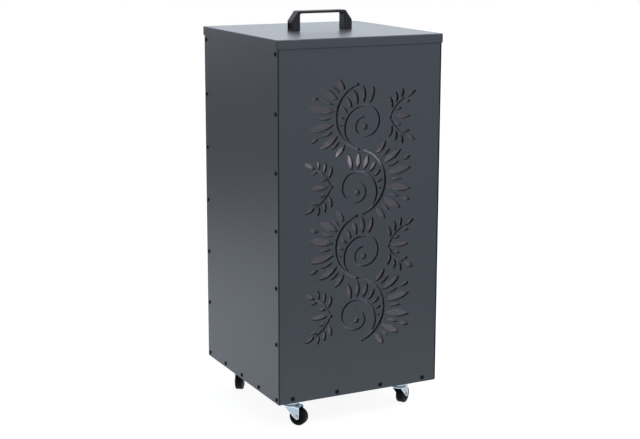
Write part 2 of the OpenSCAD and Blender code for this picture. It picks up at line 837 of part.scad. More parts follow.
base_tray();
front_panel();
rear_panel();
side_panel(-1);  // left_side_panel
side_panel(1);  // right_side_panel
window_pane();
pane_gasket();
side_retainer(-1);  // left_pane_retainer
side_retainer(1);  // right_pane_retainer
lower_pane_retainer();
pane_studs();
pane_nuts();
caster_rail(-1);  // left_caster_rail
caster_rail(1);  // right_caster_rail
rail_rivets();
front_screws();
rotate(180) front_screws();  // rear_screws
side_screws(-1);  // left_side_screws
side_screws(1);  // right_side_screws
front_rivet_nuts();
rotate(180) front_rivet_nuts();  // rear_rivet_nuts
side_rivet_nuts(-1);  // left_rivet_nuts
side_rivet_nuts(1);  // right_rivet_nuts
lid();
lid_handle();
handle_screws();
handle_washers();
caster_bolts();
caster_nuts();
caster_plate(0);  // front_left_caster_plate
kingpin(0);  // front_left_kingpin
balls(0);  // front_left_balls
fork(0);  // front_left_fork
axle(0);  // front_left_axle
hub(0);  // front_left_hub
tread(0);  // front_left_tread
caster_plate(1);  // front_right_caster_plate
kingpin(1);  // front_right_kingpin
balls(1);  // front_right_balls
fork(1);  // front_right_fork
axle(1);  // front_right_axle
hub(1);  // front_right_hub
tread(1);  // front_right_tread
caster_plate(2);  // rear_left_caster_plate
kingpin(2);  // rear_left_kingpin
balls(2);  // rear_left_balls
fork(2);  // rear_left_fork
axle(2);  // rear_left_axle
hub(2);  // rear_left_hub
tread(2);  // rear_left_tread
caster_plate(3);  // rear_right_caster_plate
kingpin(3);  // rear_right_kingpin
balls(3);  // rear_right_balls
fork(3);  // rear_right_fork
axle(3);  // rear_right_axle
hub(3);  // rear_right_hub
tread(3);  // rear_right_tread
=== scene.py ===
"""Looks of the pellet storage bin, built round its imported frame."""

import json
import logging
import math
from dataclasses import dataclass
from enum import Enum
from typing import Callable, Sequence

import bpy
from mathutils import Matrix, Vector


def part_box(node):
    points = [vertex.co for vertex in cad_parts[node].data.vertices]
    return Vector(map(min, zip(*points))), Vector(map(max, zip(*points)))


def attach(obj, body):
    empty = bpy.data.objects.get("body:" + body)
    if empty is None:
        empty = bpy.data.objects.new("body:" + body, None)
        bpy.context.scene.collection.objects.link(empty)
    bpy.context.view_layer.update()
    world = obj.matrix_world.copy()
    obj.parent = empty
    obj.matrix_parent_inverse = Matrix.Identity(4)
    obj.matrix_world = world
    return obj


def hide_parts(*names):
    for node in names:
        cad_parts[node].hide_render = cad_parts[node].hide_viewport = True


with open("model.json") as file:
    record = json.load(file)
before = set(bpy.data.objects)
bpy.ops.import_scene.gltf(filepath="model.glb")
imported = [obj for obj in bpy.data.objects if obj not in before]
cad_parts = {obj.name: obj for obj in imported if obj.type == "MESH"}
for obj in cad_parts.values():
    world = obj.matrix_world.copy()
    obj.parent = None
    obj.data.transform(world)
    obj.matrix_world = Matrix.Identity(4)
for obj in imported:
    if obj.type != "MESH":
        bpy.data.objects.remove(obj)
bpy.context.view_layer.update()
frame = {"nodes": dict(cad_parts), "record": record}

LOG = logging.getLogger("pellet_bin")
# name of the face mark that carries the painted highlight
PAINTED_HIGHLIGHT = "painted_highlight"
MM = 0.001
SLACK = 0.1 * MM  # how far off a face or edge that is picked by its place may lie
SQUARE_ON = 0.9999  # the part of a unit normal along the axis that a face looks along

Point = tuple[float, float, float]
Flat = tuple[float, float]
Profile = tuple[Flat, ...]
Colour = tuple[float, float, float]
Piece = bpy.types.Object
Node = bpy.types.Node
Socket = bpy.types.NodeSocket
Sockets = dict[str, Socket]
Rule = Callable[[Vector, Vector], bool]

WHITE: Colour = (1.0, 1.0, 1.0)


class Axis(Enum):
    """A direction of the shared frame, as a unit vector."""

    X = (1.0, 0.0, 0.0)
    Y = (0.0, 1.0, 0.0)
    Z = (0.0, 0.0, 1.0)


class Corner(Enum):
    """A caster's place: its name in the frame, the signs of its X and Y, and its swivel angle."""

    FRONT_LEFT = ("front_left", -1, -1, -53.0)
    FRONT_RIGHT = ("front_right", 1, -1, 36.0)
    REAR_LEFT = ("rear_left", -1, 1, -125.0)
    REAR_RIGHT = ("rear_right", 1, 1, 158.0)


class Slot(Enum):
    """The record's material slots."""

    COAT = "anthracite_coat"
    PANE = "clear_pane"
    FOAM = "gasket_foam"
    SCREW = "black_screws"
    HANDLE = "handle_plastic"
    HUB = "hub_plastic"
    TREAD = "tread_rubber"
    FITTING = "zinc_fittings"
    STEEL = "bright_steel"
    ZINC = "zinc_plate"


# ---------------------------------------------------------------- shader effects


def rgba(colour: Colour, share: float = 1.0) -> tuple[float, float, float, float]:
    """Returns a colour times a share, with full alpha."""
    return (colour[0] * share, colour[1] * share, colour[2] * share, 1.0)


class Recipe:
    """Lays nodes into one shader tree and links them by socket name."""

    def __init__(self, tree: bpy.types.NodeTree) -> None:
        """Starts on a tree."""
        self.tree = tree

    @classmethod
    def fresh(cls, owner: bpy.types.ID) -> "Recipe":
        """Empties a tree and starts on it.

        Args:
            owner: the material or the world whose tree it is.

        Returns:
            The recipe.
        """
        owner.use_nodes = True
        owner.node_tree.nodes.clear()
        return cls(owner.node_tree)

    def feed(self, node: Node, **inputs: object) -> None:
        """Sets or links some inputs of a node.

        Args:
            node: the node.
            inputs: a value or an output socket for each input, by its name with underscores for
                spaces, or by in_ and its number.
        """
        for name, value in inputs.items():
            key = int(name[3:]) if name.startswith("in_") else name.replace("_", " ")
            if isinstance(value, Socket):
                self.tree.links.new(value, node.inputs[key])
            else:
                node.inputs[key].default_value = value

    def add(self, kind: str, settings: dict | None = None, **inputs: object) -> Node:
        """Adds a node.

        Args:
            kind: the node's type name.
            settings: attributes of the node itself, such as its operation.
            inputs: its inputs, as feed takes them.

        Returns:
            The new node.
        """
        node = self.tree.nodes.new(kind)
        for name, value in (settings or {}).items():
            setattr(node, name, value)
        self.feed(node, **inputs)
        return node

    def maths(self, operation: str, a: object, b: object = 0.0) -> Socket:
        """Adds a maths node and returns its result."""
        return self.add("ShaderNodeMath", {"operation": operation}, in_0=a, in_1=b).outputs[0]

    def vector_maths(self, operation: str, a: object, b: object) -> Socket:
        """Adds a vector maths node and returns its value."""
        node = self.add("ShaderNodeVectorMath", {"operation": operation}, in_0=a, in_1=b)
        return node.outputs["Value"]

    def spread(self, value: object, middle: float, swing: float) -> Socket:
        """Maps a value from 0..1 to a swing about a middle and returns the result."""
        low, high = middle - swing, middle + swing
        return self.add("ShaderNodeMapRange", Value=value, To_Min=low, To_Max=high).outputs[0]

    def blend(self, share: object, first: object, second: object) -> Socket:
        """Mixes two colours by a share and returns the result."""
        mix = self.add("ShaderNodeMix", {"data_type": "RGBA"}, in_0=share, in_6=first, in_7=second)
        return mix.outputs[2]

    def either(self, share: object, first: Node, second: Node) -> Node:
        """Mixes two shaders by a share and returns the mix."""
        return self.add(
            "ShaderNodeMixShader", in_0=share, in_1=first.outputs[0], in_2=second.outputs[0]
        )

    def seen_directly(self) -> Socket:
        """Returns a mask of the rays that come from the camera, also through the pane."""
        path = self.add("ShaderNodeLightPath").outputs
        return self.maths("MAXIMUM", path["Is Camera Ray"], path["Is Transmission Ray"])


@dataclass(frozen=True)
class Effect:
    """A shader node group that several finishes share, with named inputs and outputs."""

    name: str
    inputs: tuple[tuple[str, float], ...]
    outputs: tuple[str, ...]
    fill: Callable[[Recipe, Node], Sockets]

    def tree(self) -> bpy.types.NodeTree:
        """Builds the group's tree at its first use.

        Returns:
            The tree.
        """
        made = bpy.data.node_groups.get(self.name)
        if made:
            return made
        tree = bpy.data.node_groups.new(self.name, "ShaderNodeTree")
        for label, value in self.inputs:
            socket = tree.interface.new_socket(label, in_out="INPUT", socket_type="NodeSocketFloat")
            socket.default_value = value
        for label in self.outputs:
            tree.interface.new_socket(label, in_out="OUTPUT", socket_type="NodeSocketFloat")
        recipe = Recipe(tree)
        start = recipe.add("NodeGroupInput")
        recipe.add("NodeGroupOutput", **self.fill(recipe, start))
        return tree

    def place(self, recipe: Recipe, **values: float) -> Node:
        """Places the group in a material, with its own values there by input name."""
        return recipe.add("ShaderNodeGroup", {"node_tree": self.tree()}, **values)


def object_noise(recipe: Recipe, scale: object, octaves: float, rough: float = 0.5) -> Socket:
    """Lays noise on object coordinates.

    Args:
        recipe: the tree's recipe.
        scale: cells per metre, or a socket that gives them.
        octaves: how many finer layers it has.
        rough: how strong the finer layers are.

    Returns:
        The noise value, about 0 to 1.
    """
    place = recipe.add("ShaderNodeTexCoord").outputs["Object"]
    return recipe.add(
        "ShaderNodeTexNoise", Vector=place, Scale=scale, Detail=octaves, Roughness=rough
    ).outputs["Fac"]


def fill_grain(recipe: Recipe, start: Node) -> Sockets:
    """Fills the grain effect: a fine skin of pimples and a broad, faint unevenness.

    Args:
        recipe: the group's recipe.
        start: the node that gives the group's inputs.

    Returns:
        What the group puts out, by name.
    """
    fine = object_noise(recipe, start.outputs["Fine"], octaves=2.0)
    soft = object_noise(recipe, start.outputs["Broad"], octaves=3.0, rough=0.6)
    height = recipe.maths("ADD", fine, recipe.maths("MULTIPLY", soft, start.outputs["Waviness"]))
    return {"Height": height, "Tone": soft, "Speck": fine}


def fill_dust(recipe: Recipe, start: Node) -> Sockets:
    """Fills the dust effect: a thin film that lies mostly on upward faces, in soft clouds.

    Args:
        recipe: the group's recipe.
        start: the node that gives the group's inputs.

    Returns:
        What the group puts out, by name.
    """
    normal = recipe.add("ShaderNodeTexCoord").outputs["Normal"]
    up = recipe.add("ShaderNodeSeparateXYZ", Vector=normal).outputs["Z"]
    lying = recipe.maths("MAXIMUM", up, start.outputs["Everywhere"])
    clouds = object_noise(recipe, start.outputs["Scale"], octaves=5.0, rough=0.62)
    ragged = recipe.add("ShaderNodeMapRange", Value=clouds, From_Min=0.35, From_Max=0.75).outputs[0]
    film = recipe.maths("MULTIPLY", lying, ragged)
    mask = recipe.maths("MAXIMUM", recipe.maths("MULTIPLY", film, start.outputs["Amount"]), 0.0)
    return {"Mask": mask}


def fill_bloom(recipe: Recipe, start: Node) -> Sockets:
    """Fills the plating effect: crystal bloom and streaks as from rubbing.

    Args:
        recipe: the group's recipe.
        start: the node that gives the group's inputs.

    Returns:
        What the group puts out, by name.
    """
    place = recipe.add("ShaderNodeTexCoord").outputs["Object"]
    crystals = recipe.add(
        "ShaderNodeTexVoronoi", {"feature": "SMOOTH_F1"}, Vector=place,
        Scale=start.outputs["Crystals"], Smoothness=0.6,
    ).outputs["Distance"]
    clouds = object_noise(recipe, start.outputs["Clouds"], octaves=4.0, rough=0.6)
    drawn_out = recipe.add("ShaderNodeMapping", Vector=place, Scale=(1.0, 14.0, 5.0)).outputs[0]
    streak = recipe.add(
        "ShaderNodeTexNoise", Vector=drawn_out, Scale=start.outputs["Streaks"], Detail=3.0
    ).outputs["Fac"]
    both = recipe.maths("ADD", crystals, clouds)
    return {"Tone": recipe.maths("MULTIPLY", both, start.outputs["Strength"]), "Streak": streak}


def fill_edge(recipe: Recipe, start: Node) -> Sockets:
    """Fills the mask of the painted edge shade: 1 on folds and cut edges, 0 on faces that look the
    main way.

    Args:
        recipe: the group's recipe.
        start: the node that gives the group's inputs.

    Returns:
        What the group puts out, by name.
    """
    normal = recipe.add("ShaderNodeTexCoord").outputs["Normal"]
    main = recipe.add("ShaderNodeCombineXYZ", **{way: start.outputs[way] for way in "XYZ"})
    flat = recipe.maths("ABSOLUTE", recipe.vector_maths("DOT_PRODUCT", normal, main.outputs[0]))
    turned = recipe.add("ShaderNodeMapRange", Value=flat, From_Min=0.97, From_Max=0.75)
    return {"Mask": turned.outputs[0]}


GRAIN = Effect(
    "skin_grain",
    (("Fine", 1500.0), ("Broad", 12.0), ("Waviness", 0.5)),
    ("Height", "Tone", "Speck"),
    fill_grain,
)
DUST = Effect(
    "dust_film",
    (("Amount", 0.2), ("Scale", 9.0), ("Everywhere", 0.0)),
    ("Mask",),
    fill_dust,
)
# mask of where the panels get their painted edge shade
EDGE = Effect("painted_edge_shade_mask", (("X", 0.0), ("Y", 0.0), ("Z", 1.0)), ("Mask",), fill_edge)
BLOOM = Effect(
    "plating_bloom",
    (("Crystals", 420.0), ("Clouds", 60.0), ("Streaks", 260.0), ("Strength", 0.6)),
    ("Tone", "Streak"),
    fill_bloom,
)


# ---------------------------------------------------------------- finishes


@dataclass(frozen=True)
class Finish:
    """A finish of the bin: how one kind of surface looks."""

    name: str
    slot: Slot
    colour: Colour
    roughness: float
    gloss: float = 0.5

    def material(self) -> bpy.types.Material:
        """Builds the finish's material at its first use.

        Returns:
            The material.
        """
        made = bpy.data.materials.get(self.name)
        if made:
            return made
        material = bpy.data.materials.new(self.name)
        recipe = Recipe.fresh(material)
        shader = recipe.add(
            "ShaderNodeBsdfPrincipled", Base_Color=rgba(self.colour), Roughness=self.roughness,
            Specular_IOR_Level=self.gloss,
        )
        recipe.add("ShaderNodeOutputMaterial", Surface=shader.outputs[0])
        self.dress(recipe, shader)
        return material

    def dress(self, recipe: Recipe, shader: Node) -> None:
        """Adds the finish's detail to its shader; a plain finish adds none."""

    def bump(self, recipe: Recipe, shader: Node, height: object, depth: float) -> None:
        """Feeds a height into the shader's normal.

        Args:
            recipe: the material's recipe.
            shader: the material's shader.
            height: the socket that gives the height, 0 to 1.
            depth: how deep a height of 1 is, in metres.
        """
        node = recipe.add("ShaderNodeBump", Height=height, Distance=depth, Strength=1.0)
        recipe.feed(shader, Normal=node.outputs[0])


@dataclass(frozen=True)
class Skinned(Finish):
    """A surface with a fine grain, patches of uneven tone and a thin film of dust."""

    fine: float = 1300.0
    broad: float = 5.0
    waviness: float = 0.25
    depth: float = 0.035 * MM
    tones: Flat = (0.95, 1.05)
    dust: float = 0.05
    dust_scale: float = 6.0
    dust_everywhere: float = 0.12
    dust_colour: Colour = (0.30, 0.29, 0.27)

    def skin(self, recipe: Recipe, shader: Node, follows: str, swing: float) -> Socket:
        """Adds the grain to the normal and the roughness.

        Args:
            recipe: the material's recipe.
            shader: the material's shader.
            follows: the output of the grain that the roughness follows.
            swing: how far the roughness goes above and below its middle as it follows.

        Returns:
            The colour, with its uneven tone and its dust.
        """
        grain = GRAIN.place(recipe, Fine=self.fine, Broad=self.broad, Waviness=self.waviness)
        dust = DUST.place(
            recipe, Amount=self.dust, Scale=self.dust_scale, Everywhere=self.dust_everywhere
        )
        low, high = (rgba(self.colour, share) for share in self.tones)
        uneven = recipe.blend(grain.outputs["Tone"], low, high)
        recipe.feed(shader, Roughness=recipe.spread(grain.outputs[follows], self.roughness, swing))
        self.bump(recipe, shader, grain.outputs["Height"], self.depth)
        return recipe.blend(dust.outputs["Mask"], uneven, rgba(self.dust_colour))


@dataclass(frozen=True)
class PowderCoat(Skinned):
    """Sprayed and baked powder coat: a fine pimpled skin with a faint film of dust."""

    rough_swing: float = 0.03
    main_way: Axis | None = None
    # share of the coat's colour left on folds and cut edges: painted shade
    painted_edge_shade: float = 0.2

    def dress(self, recipe: Recipe, shader: Node) -> None:
        """Adds the skin, and painted shade on a panel's folds and cut edges: the coat is darkened
        there to stand for the shade in the corner grooves and the cut walls.

        Args:
            recipe: the material's recipe.
            shader: the material's shader.
        """
        final = self.skin(recipe, shader, "Speck", self.rough_swing)
        if self.main_way:
            edge = EDGE.place(recipe, **dict(zip("XYZ", self.main_way.value)))
            # painted shade: the coat darkened on folds and cut edges
            final = recipe.blend(edge.outputs["Mask"], final, rgba(self.colour, self.painted_edge_shade))
        recipe.feed(shader, Base_Color=final)


@dataclass(frozen=True)
class ClearPane(Finish):
    """Glossy clear sheet with a faint smoke tint."""

    ior: float = 1.8
    sheen_tint: Colour = (0.95, 0.88, 1.0)
    wipe_scale: float = 26.0
    wipe_rough: Flat = (0.5, 1.6)
    wave_scale: float = 7.0
    wave_depth: float = 0.4 * MM

    def dress(self, recipe: Recipe, shader: Node) -> None:
        """Makes the sheet clear, and adds its faint wipe marks and waves.

        Args:
            recipe: the material's recipe.
            shader: the material's shader.
        """
        recipe.feed(
            shader, Transmission_Weight=1.0, IOR=self.ior, Specular_Tint=rgba(self.sheen_tint)
        )
        wiped = object_noise(recipe, self.wipe_scale, octaves=4.0, rough=0.6)
        low, high = (self.roughness * share for share in self.wipe_rough)
        rough = recipe.add("ShaderNodeMapRange", Value=wiped, To_Min=low, To_Max=high)
        recipe.feed(shader, Roughness=rough.outputs[0])
        waves = object_noise(recipe, self.wave_scale, octaves=1.0)
        self.bump(recipe, shader, waves, self.wave_depth)


@dataclass(frozen=True)
class Moulded(Skinned):
    """Black moulded plastic or rubber: a spark-eroded grain, worn smoother in patches by rubbing.
    """

    fine: float = 1700.0
    broad: float = 38.0
    waviness: float = 0.15
    depth: float = 0.05 * MM
    tones: Flat = (0.8, 1.25)
    dust: float = 0.12
    dust_scale: float = 55.0
    dust_everywhere: float = 0.25
    dust_colour: Colour = (0.20, 0.19, 0.18)
    # how much smoother the worn patches are
    wear_and_highlight: float = 0.12

    def dress(self, recipe: Recipe, shader: Node) -> None:
        """Adds the skin, smoother where rubbing wore it."""
        recipe.feed(shader, Base_Color=self.skin(recipe, shader, "Tone", -self.wear_and_highlight))


@dataclass(frozen=True)
class Plated(Finish):
    """Zinc-plated or turned steel: a soft bloom of crystals, streaks and a bluish cast."""

    cast: Colour = (0.62, 0.72, 0.82)
    depth: float = 0.01 * MM
    rough_swing: float = 0.10
    crystals: float = 420.0
    clouds: float = 70.0
    streaks: float = 240.0
    # colour of the painted highlight
    highlight_colour: Colour = (0.93, 0.96, 0.97)

    def dress(self, recipe: Recipe, shader: Node) -> None:
        """Adds the bloom, the cast, the streaks, and a painted highlight on the faces marked for
        it.

        Args:
            recipe: the material's recipe.
            shader: the material's shader.
        """
        bloom = BLOOM.place(
            recipe, Crystals=self.crystals, Clouds=self.clouds, Streaks=self.streaks
        )
        plating = recipe.blend(bloom.outputs["Tone"], rgba(self.cast), rgba(self.colour))
        # painted highlight: the faces marked for it take the brighter colour
        wear_and_highlight = recipe.add("ShaderNodeAttribute", {"attribute_name": PAINTED_HIGHLIGHT}).outputs["Fac"]
        final = recipe.blend(wear_and_highlight, plating, rgba(self.highlight_colour))
        rough = recipe.spread(bloom.outputs["Streak"], self.roughness, self.rough_swing)
        recipe.feed(shader, Metallic=1.0, Base_Color=final, Roughness=rough)
        self.bump(recipe, shader, bloom.outputs["Streak"], self.depth)


@dataclass(frozen=True)
class Foam(Finish):
    """Closed-cell strip: small round cells in a dull black skin."""

    cells: float = 900.0
    cell_tone: Flat = (0.6, 1.8)
    depth: float = 0.2 * MM

    def dress(self, recipe: Recipe, shader: Node) -> None:
        """Adds the cells to the colour and to the skin.

        Args:
            recipe: the material's recipe.
            shader: the material's shader.
        """
        place = recipe.add("ShaderNodeTexCoord").outputs["Object"]
        cells = recipe.add("ShaderNodeTexVoronoi", Vector=place, Scale=self.cells)
        low, high = (rgba(self.colour, share) for share in self.cell_tone)
        recipe.feed(shader, Base_Color=recipe.blend(cells.outputs["Distance"], low, high))
        self.bump(recipe, shader, cells.outputs["Distance"], self.depth)


COAT_COLOUR: Colour = (0.040, 0.0455, 0.056)
COAT_ROUGHNESS = 0.35
ANTHRACITE = PowderCoat("anthracite_powder_coat", Slot.COAT, COAT_COLOUR, COAT_ROUGHNESS)
# the panels' coat, with painted shade on their folds and cut edges
FACE_PANEL = PowderCoat(
    "anthracite_on_front_and_rear", Slot.COAT, COAT_COLOUR, COAT_ROUGHNESS, main_way=Axis.Y
)
SIDE_PANEL = PowderCoat(
    "anthracite_on_sides", Slot.COAT, COAT_COLOUR, COAT_ROUGHNESS, main_way=Axis.X
)
PANE = ClearPane("clear_smoke_pane", Slot.PANE, (0.84, 0.82, 0.90), 0.05, 0.8)
FOAM = Foam("black_foam_strip", Slot.FOAM, (0.02, 0.02, 0.022), 0.85)
BLACK_SCREW = Moulded(
    "black_screw_coat", Slot.SCREW, (0.008, 0.009, 0.0125), 0.42, 0.06, fine=2400.0, dust=0.01
)
HANDLE_PLASTIC = Moulded("moulded_handle_black", Slot.HANDLE, (0.0095, 0.0085, 0.0125), 0.42, 0.42)
HUB_PLASTIC = Moulded("moulded_hub_black", Slot.HUB, (0.002, 0.002, 0.002), 0.38, 0.1, dust=0.006)
TREAD_RUBBER = Moulded(
    "moulded_tread_rubber", Slot.TREAD, (0.0035, 0.0035, 0.0035), 0.50, 0.14, fine=1100.0,
    dust=0.015,
)
ZINC_FITTING = Plated(
    "bright_zinc_fitting", Slot.FITTING, (0.62, 0.66, 0.70), 0.30, crystals=700.0
)
BRIGHT_STEEL = Plated(
    "turned_bright_steel", Slot.STEEL, (0.60, 0.61, 0.62), 0.24, cast=(0.50, 0.51, 0.53)
)
ZINC_PLATE = Plated(
    "blue_white_zinc", Slot.ZINC, (0.60, 0.69, 0.74), 0.27, cast=(0.43, 0.525, 0.61)
)
FINISHES = (
    ANTHRACITE, PANE, FOAM, BLACK_SCREW, HANDLE_PLASTIC, HUB_PLASTIC, TREAD_RUBBER, ZINC_FITTING,
    BRIGHT_STEEL, ZINC_PLATE,
)


# ---------------------------------------------------------------- the modelling bench


class Bench:
    """The modelling bench: makes and shapes meshes with Blender's own operators."""

    @staticmethod
    def clear() -> None:
        """Leaves edit mode and deselects everything."""
        active = bpy.context.view_layer.objects.active
        if active and active.mode != "OBJECT":
            bpy.ops.object.mode_set(mode="OBJECT")
        bpy.ops.object.select_all(action="DESELECT")

    @staticmethod
    def take(*pieces: Piece) -> None:
        """Selects some objects and makes the first one active.

        Args:
            pieces: the objects.
        """
        Bench.clear()
        for piece in pieces:
            piece.select_set(True)
        bpy.context.view_layer.objects.active = pieces[0]

    @staticmethod
    def name(piece: Piece, name: str) -> Piece:
        """Names an object and its mesh.

        Args:
            piece: the object.
            name: its new name.

        Returns:
            The object.
        """
        piece.name = name
        piece.data.name = name
        return piece

    @staticmethod
    def settle(piece: Piece) -> None:
        """Puts an object's place into its mesh."""
        Bench.take(piece)
        bpy.ops.object.transform_apply(location=True, rotation=True, scale=True)

    @staticmethod
    def block(name: str, low: Point, high: Point) -> Piece:
        """Adds a block between two corners.

        Args:
            name: the object's name.
            low: the lowest corner, in metres.
            high: the highest corner.

        Returns:
            The block, with its place in its mesh.
        """
        Bench.clear()
        centre = [(a + b) / 2 for a, b in zip(low, high)]
        bpy.ops.mesh.primitive_cube_add(size=1, location=centre)
        cube = Bench.name(bpy.context.object, name)
        cube.scale = [b - a for a, b in zip(low, high)]
        Bench.settle(cube)
        return cube

    @staticmethod
    def open_edit(piece: Piece, kind: str = "FACE") -> None:
        """Opens edit mode on one object with nothing selected.

        Args:
            piece: the object to edit.
            kind: VERT, EDGE or FACE.
        """
        Bench.take(piece)
        bpy.ops.object.mode_set(mode="EDIT")
        bpy.ops.mesh.select_mode(type=kind)
        bpy.ops.mesh.select_all(action="DESELECT")

    @staticmethod
    def close_edit() -> None:
        """Leaves edit mode."""
        bpy.ops.object.mode_set(mode="OBJECT")

    @staticmethod
    def pick(piece: Piece, kind: str, rule: Rule) -> None:
        """Opens edit mode with the faces or the edges selected for which a rule holds.

        Args:
            piece: the object to edit.
            kind: FACE or EDGE.
            rule: reads a face's centre and normal, or both end points of an edge.
        """
        Bench.open_edit(piece, kind)
        Bench.close_edit()
        points = piece.data.vertices
        if kind == "FACE":
            for face in piece.data.polygons:
                face.select = rule(face.center, face.normal)
        else:
            for edge in piece.data.edges:
                edge.select = rule(*(points[index].co for index in edge.vertices))
        bpy.ops.object.mode_set(mode="EDIT")

    @staticmethod
    def bevel(piece: Piece, rule: Rule, width: float, segments: int) -> None:
        """Bevels some edges.

        Args:
            piece: the object to edit.
            rule: which edges, by their end points.
            width: how far the bevel reaches from the edge, in metres.
            segments: how many faces it has.
        """
        Bench.pick(piece, "EDGE", rule)
        bpy.ops.mesh.bevel(offset=width, segments=segments, affect="EDGES")
        Bench.close_edit()

    @staticmethod
    def inset(piece: Piece, rule: Rule, *steps: Flat, each: bool = True) -> None:
        """Insets some faces, once for each step.

        Args:
            piece: the object to edit.
            rule: which faces, by their centre and normal.
            steps: how far each inset goes inwards and outwards, in metres.
            each: True insets each face alone, and False all of them as one.
        """
        Bench.pick(piece, "FACE", rule)
        for inwards, outwards in steps:
            bpy.ops.mesh.inset(thickness=inwards, depth=outwards, use_individual=each)
        Bench.close_edit()

    @staticmethod
    def bisect(piece: Piece, at: Point, way: Point, trim: bool = False) -> None:
        """Cuts all the faces of a piece along a plane.

        Args:
            piece: the object to edit.
            at: a point of the plane.
            way: the plane's normal.
            trim: True takes off what lies on the normal's side, and closes the cut.
        """
        Bench.open_edit(piece)
        bpy.ops.mesh.select_all(action="SELECT")
        bpy.ops.mesh.bisect(plane_co=at, plane_no=way, clear_outer=trim, use_fill=trim)
        Bench.close_edit()

    @staticmethod
    def chain(name: str, points: Sequence[Point], closed: bool) -> Piece:
        """Draws a line of points by extruding one point along it.

        Args:
            name: the object's name.
            points: the points, in metres.
            closed: True fills the outline with a face.

        Returns:
            The outline, in edit mode with all of it selected.
        """
        Bench.clear()
        bpy.ops.mesh.primitive_plane_add(size=MM, location=points[0])
        outline = Bench.name(bpy.context.object, name)
        Bench.settle(outline)
        Bench.open_edit(outline, "VERT")
        bpy.ops.mesh.select_all(action="SELECT")
        bpy.ops.mesh.merge(type="CENTER")
        for last, point in zip(points, points[1:]):
            step = [b - a for a, b in zip(last, point)]
            bpy.ops.mesh.extrude_region_move(TRANSFORM_OT_translate={"value": step})
        bpy.ops.mesh.select_all(action="SELECT")
        if closed:
            bpy.ops.mesh.edge_face_add()
        return outline

    @staticmethod
    def sheet(name: str, points: Sequence[Point], along: Point) -> Piece:
        """Extrudes a closed outline into a solid.

        Args:
            name: the object's name.
            points: the outline's points, in metres.
            along: the way and the distance of the extrusion.

        Returns:
            The solid, with its faces pointing outwards.
        """
        solid = Bench.chain(name, points, True)
        bpy.ops.mesh.extrude_region_move(TRANSFORM_OT_translate={"value": along})
        Bench.weld(solid)
        return solid

    @staticmethod
    def lathe(name: str, profile: Sequence[Flat], closed: bool = True, steps: int = 48) -> Piece:
        """Spins a profile of (radius, height) points round the Z axis.

        Args:
            name: the object's name.
            profile: the points, in metres.
            closed: True joins the last point to the first, for a ring.
            steps: how many steps a full turn has.

        Returns:
            The turned piece round the origin, with its faces pointing outwards.
        """
        ring = list(profile) + ([profile[0]] if closed else [])
        turned = Bench.chain(name, [(r, 0.0, z) for r, z in ring], False)
        bpy.ops.mesh.spin(steps=steps, angle=math.tau, center=(0, 0, 0), axis=(0, 0, 1))
        Bench.weld(turned)
        return turned

    @staticmethod
    def weld(piece: Piece) -> None:
        """Merges a piece's double points and turns its faces outwards.

        Args:
            piece: the object to edit.
        """
        Bench.open_edit(piece)
        bpy.ops.mesh.select_all(action="SELECT")
        bpy.ops.mesh.remove_doubles(threshold=1e-6)
        bpy.ops.mesh.normals_make_consistent(inside=False)
        Bench.close_edit()

    @staticmethod
    def modify(piece: Piece, kind: str, **values: object) -> None:
        """Adds a modifier and applies it.

        Args:
            piece: the object.
            kind: the modifier's type.
            values: its settings.
        """
        Bench.take(piece)
        modifier = piece.modifiers.new(kind.lower(), kind)
        for name, value in values.items():
            setattr(modifier, name, value)
        bpy.ops.object.modifier_apply(modifier=modifier.name)

    @staticmethod
    def round_off(piece: Piece, width: float, segments: int = 2, angle: float = 30.0) -> None:
        """Rounds the edges that are sharper than an angle in degrees, by a width in metres."""
        limit = math.radians(angle)
        Bench.modify(
            piece, "BEVEL", width=width, segments=segments, limit_method="ANGLE", angle_limit=limit
        )

    @staticmethod
    def turn(piece: Piece, degrees: float, axis: Axis) -> None:
        """Turns a mesh about an axis of the frame by the right-hand rule."""
        piece.matrix_world = Matrix.Rotation(math.radians(degrees), 4, Vector(axis.value))
        Bench.settle(piece)

    @staticmethod
    def shift(piece: Piece, way: Point) -> None:
        """Moves a mesh."""
        piece.location = way
        Bench.settle(piece)

    @staticmethod
    def copy(piece: Piece, name: str) -> Piece:
        """Copies an object with a mesh of its own.

        Args:
            piece: the object.
            name: the copy's name.

        Returns:
            The copy.
        """
        Bench.take(piece)
        bpy.ops.object.duplicate(linked=False)
        return Bench.name(bpy.context.object, name)

    @staticmethod
    def painted_highlight(piece: Piece, rule: Rule) -> None:
        """Marks the faces that get the painted highlight.

        Args:
            piece: the object.
            rule: which faces, by their centre and normal.
        """
        mark = piece.data.attributes.new(PAINTED_HIGHLIGHT, "FLOAT", "FACE")
        for face in piece.data.polygons:
            mark.data[face.index].value = float(rule(face.center, face.normal))

    @staticmethod
    def join(name: str, *pieces: Piece) -> Piece:
        """Joins objects into the first one.

        Args:
            name: what they are called together.
            pieces: the objects.

        Returns:
            The first object, with all of them in it.
        """
        Bench.take(*pieces)
        bpy.ops.object.join()
        return Bench.name(pieces[0], name)

    @staticmethod
    def scrap(*pieces: Piece) -> None:
        """Deletes objects that were only patterns or tools."""
        Bench.take(*pieces)
        bpy.ops.object.delete()


def finish_piece(
    piece: Piece, body: str, finish: Finish, nodes: Sequence[str], smooth: float = 40.0
) -> None:
    """Dresses a finished piece and ties it to the frame.

    Args:
        piece: the piece, with its place in its mesh.
        body: the body that it moves with.
        finish: what it is made of.
        nodes: the CAD nodes that it stands for.
        smooth: edges flatter than this angle, in degrees, shade smooth.
    """
    Bench.take(piece)
    bpy.ops.object.shade_smooth_by_angle(angle=math.radians(smooth))
    Bench.modify(piece, "WEIGHTED_NORMAL", keep_sharp=True)
    piece.data.materials.clear()
    piece.data.materials.append(finish.material())
    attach(piece, body)
    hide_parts(*nodes)
    LOG.info(
        "%s: %d faces, rides on %s, stands for %s",
        piece.name, len(piece.data.polygons), body, ", ".join(nodes),
    )


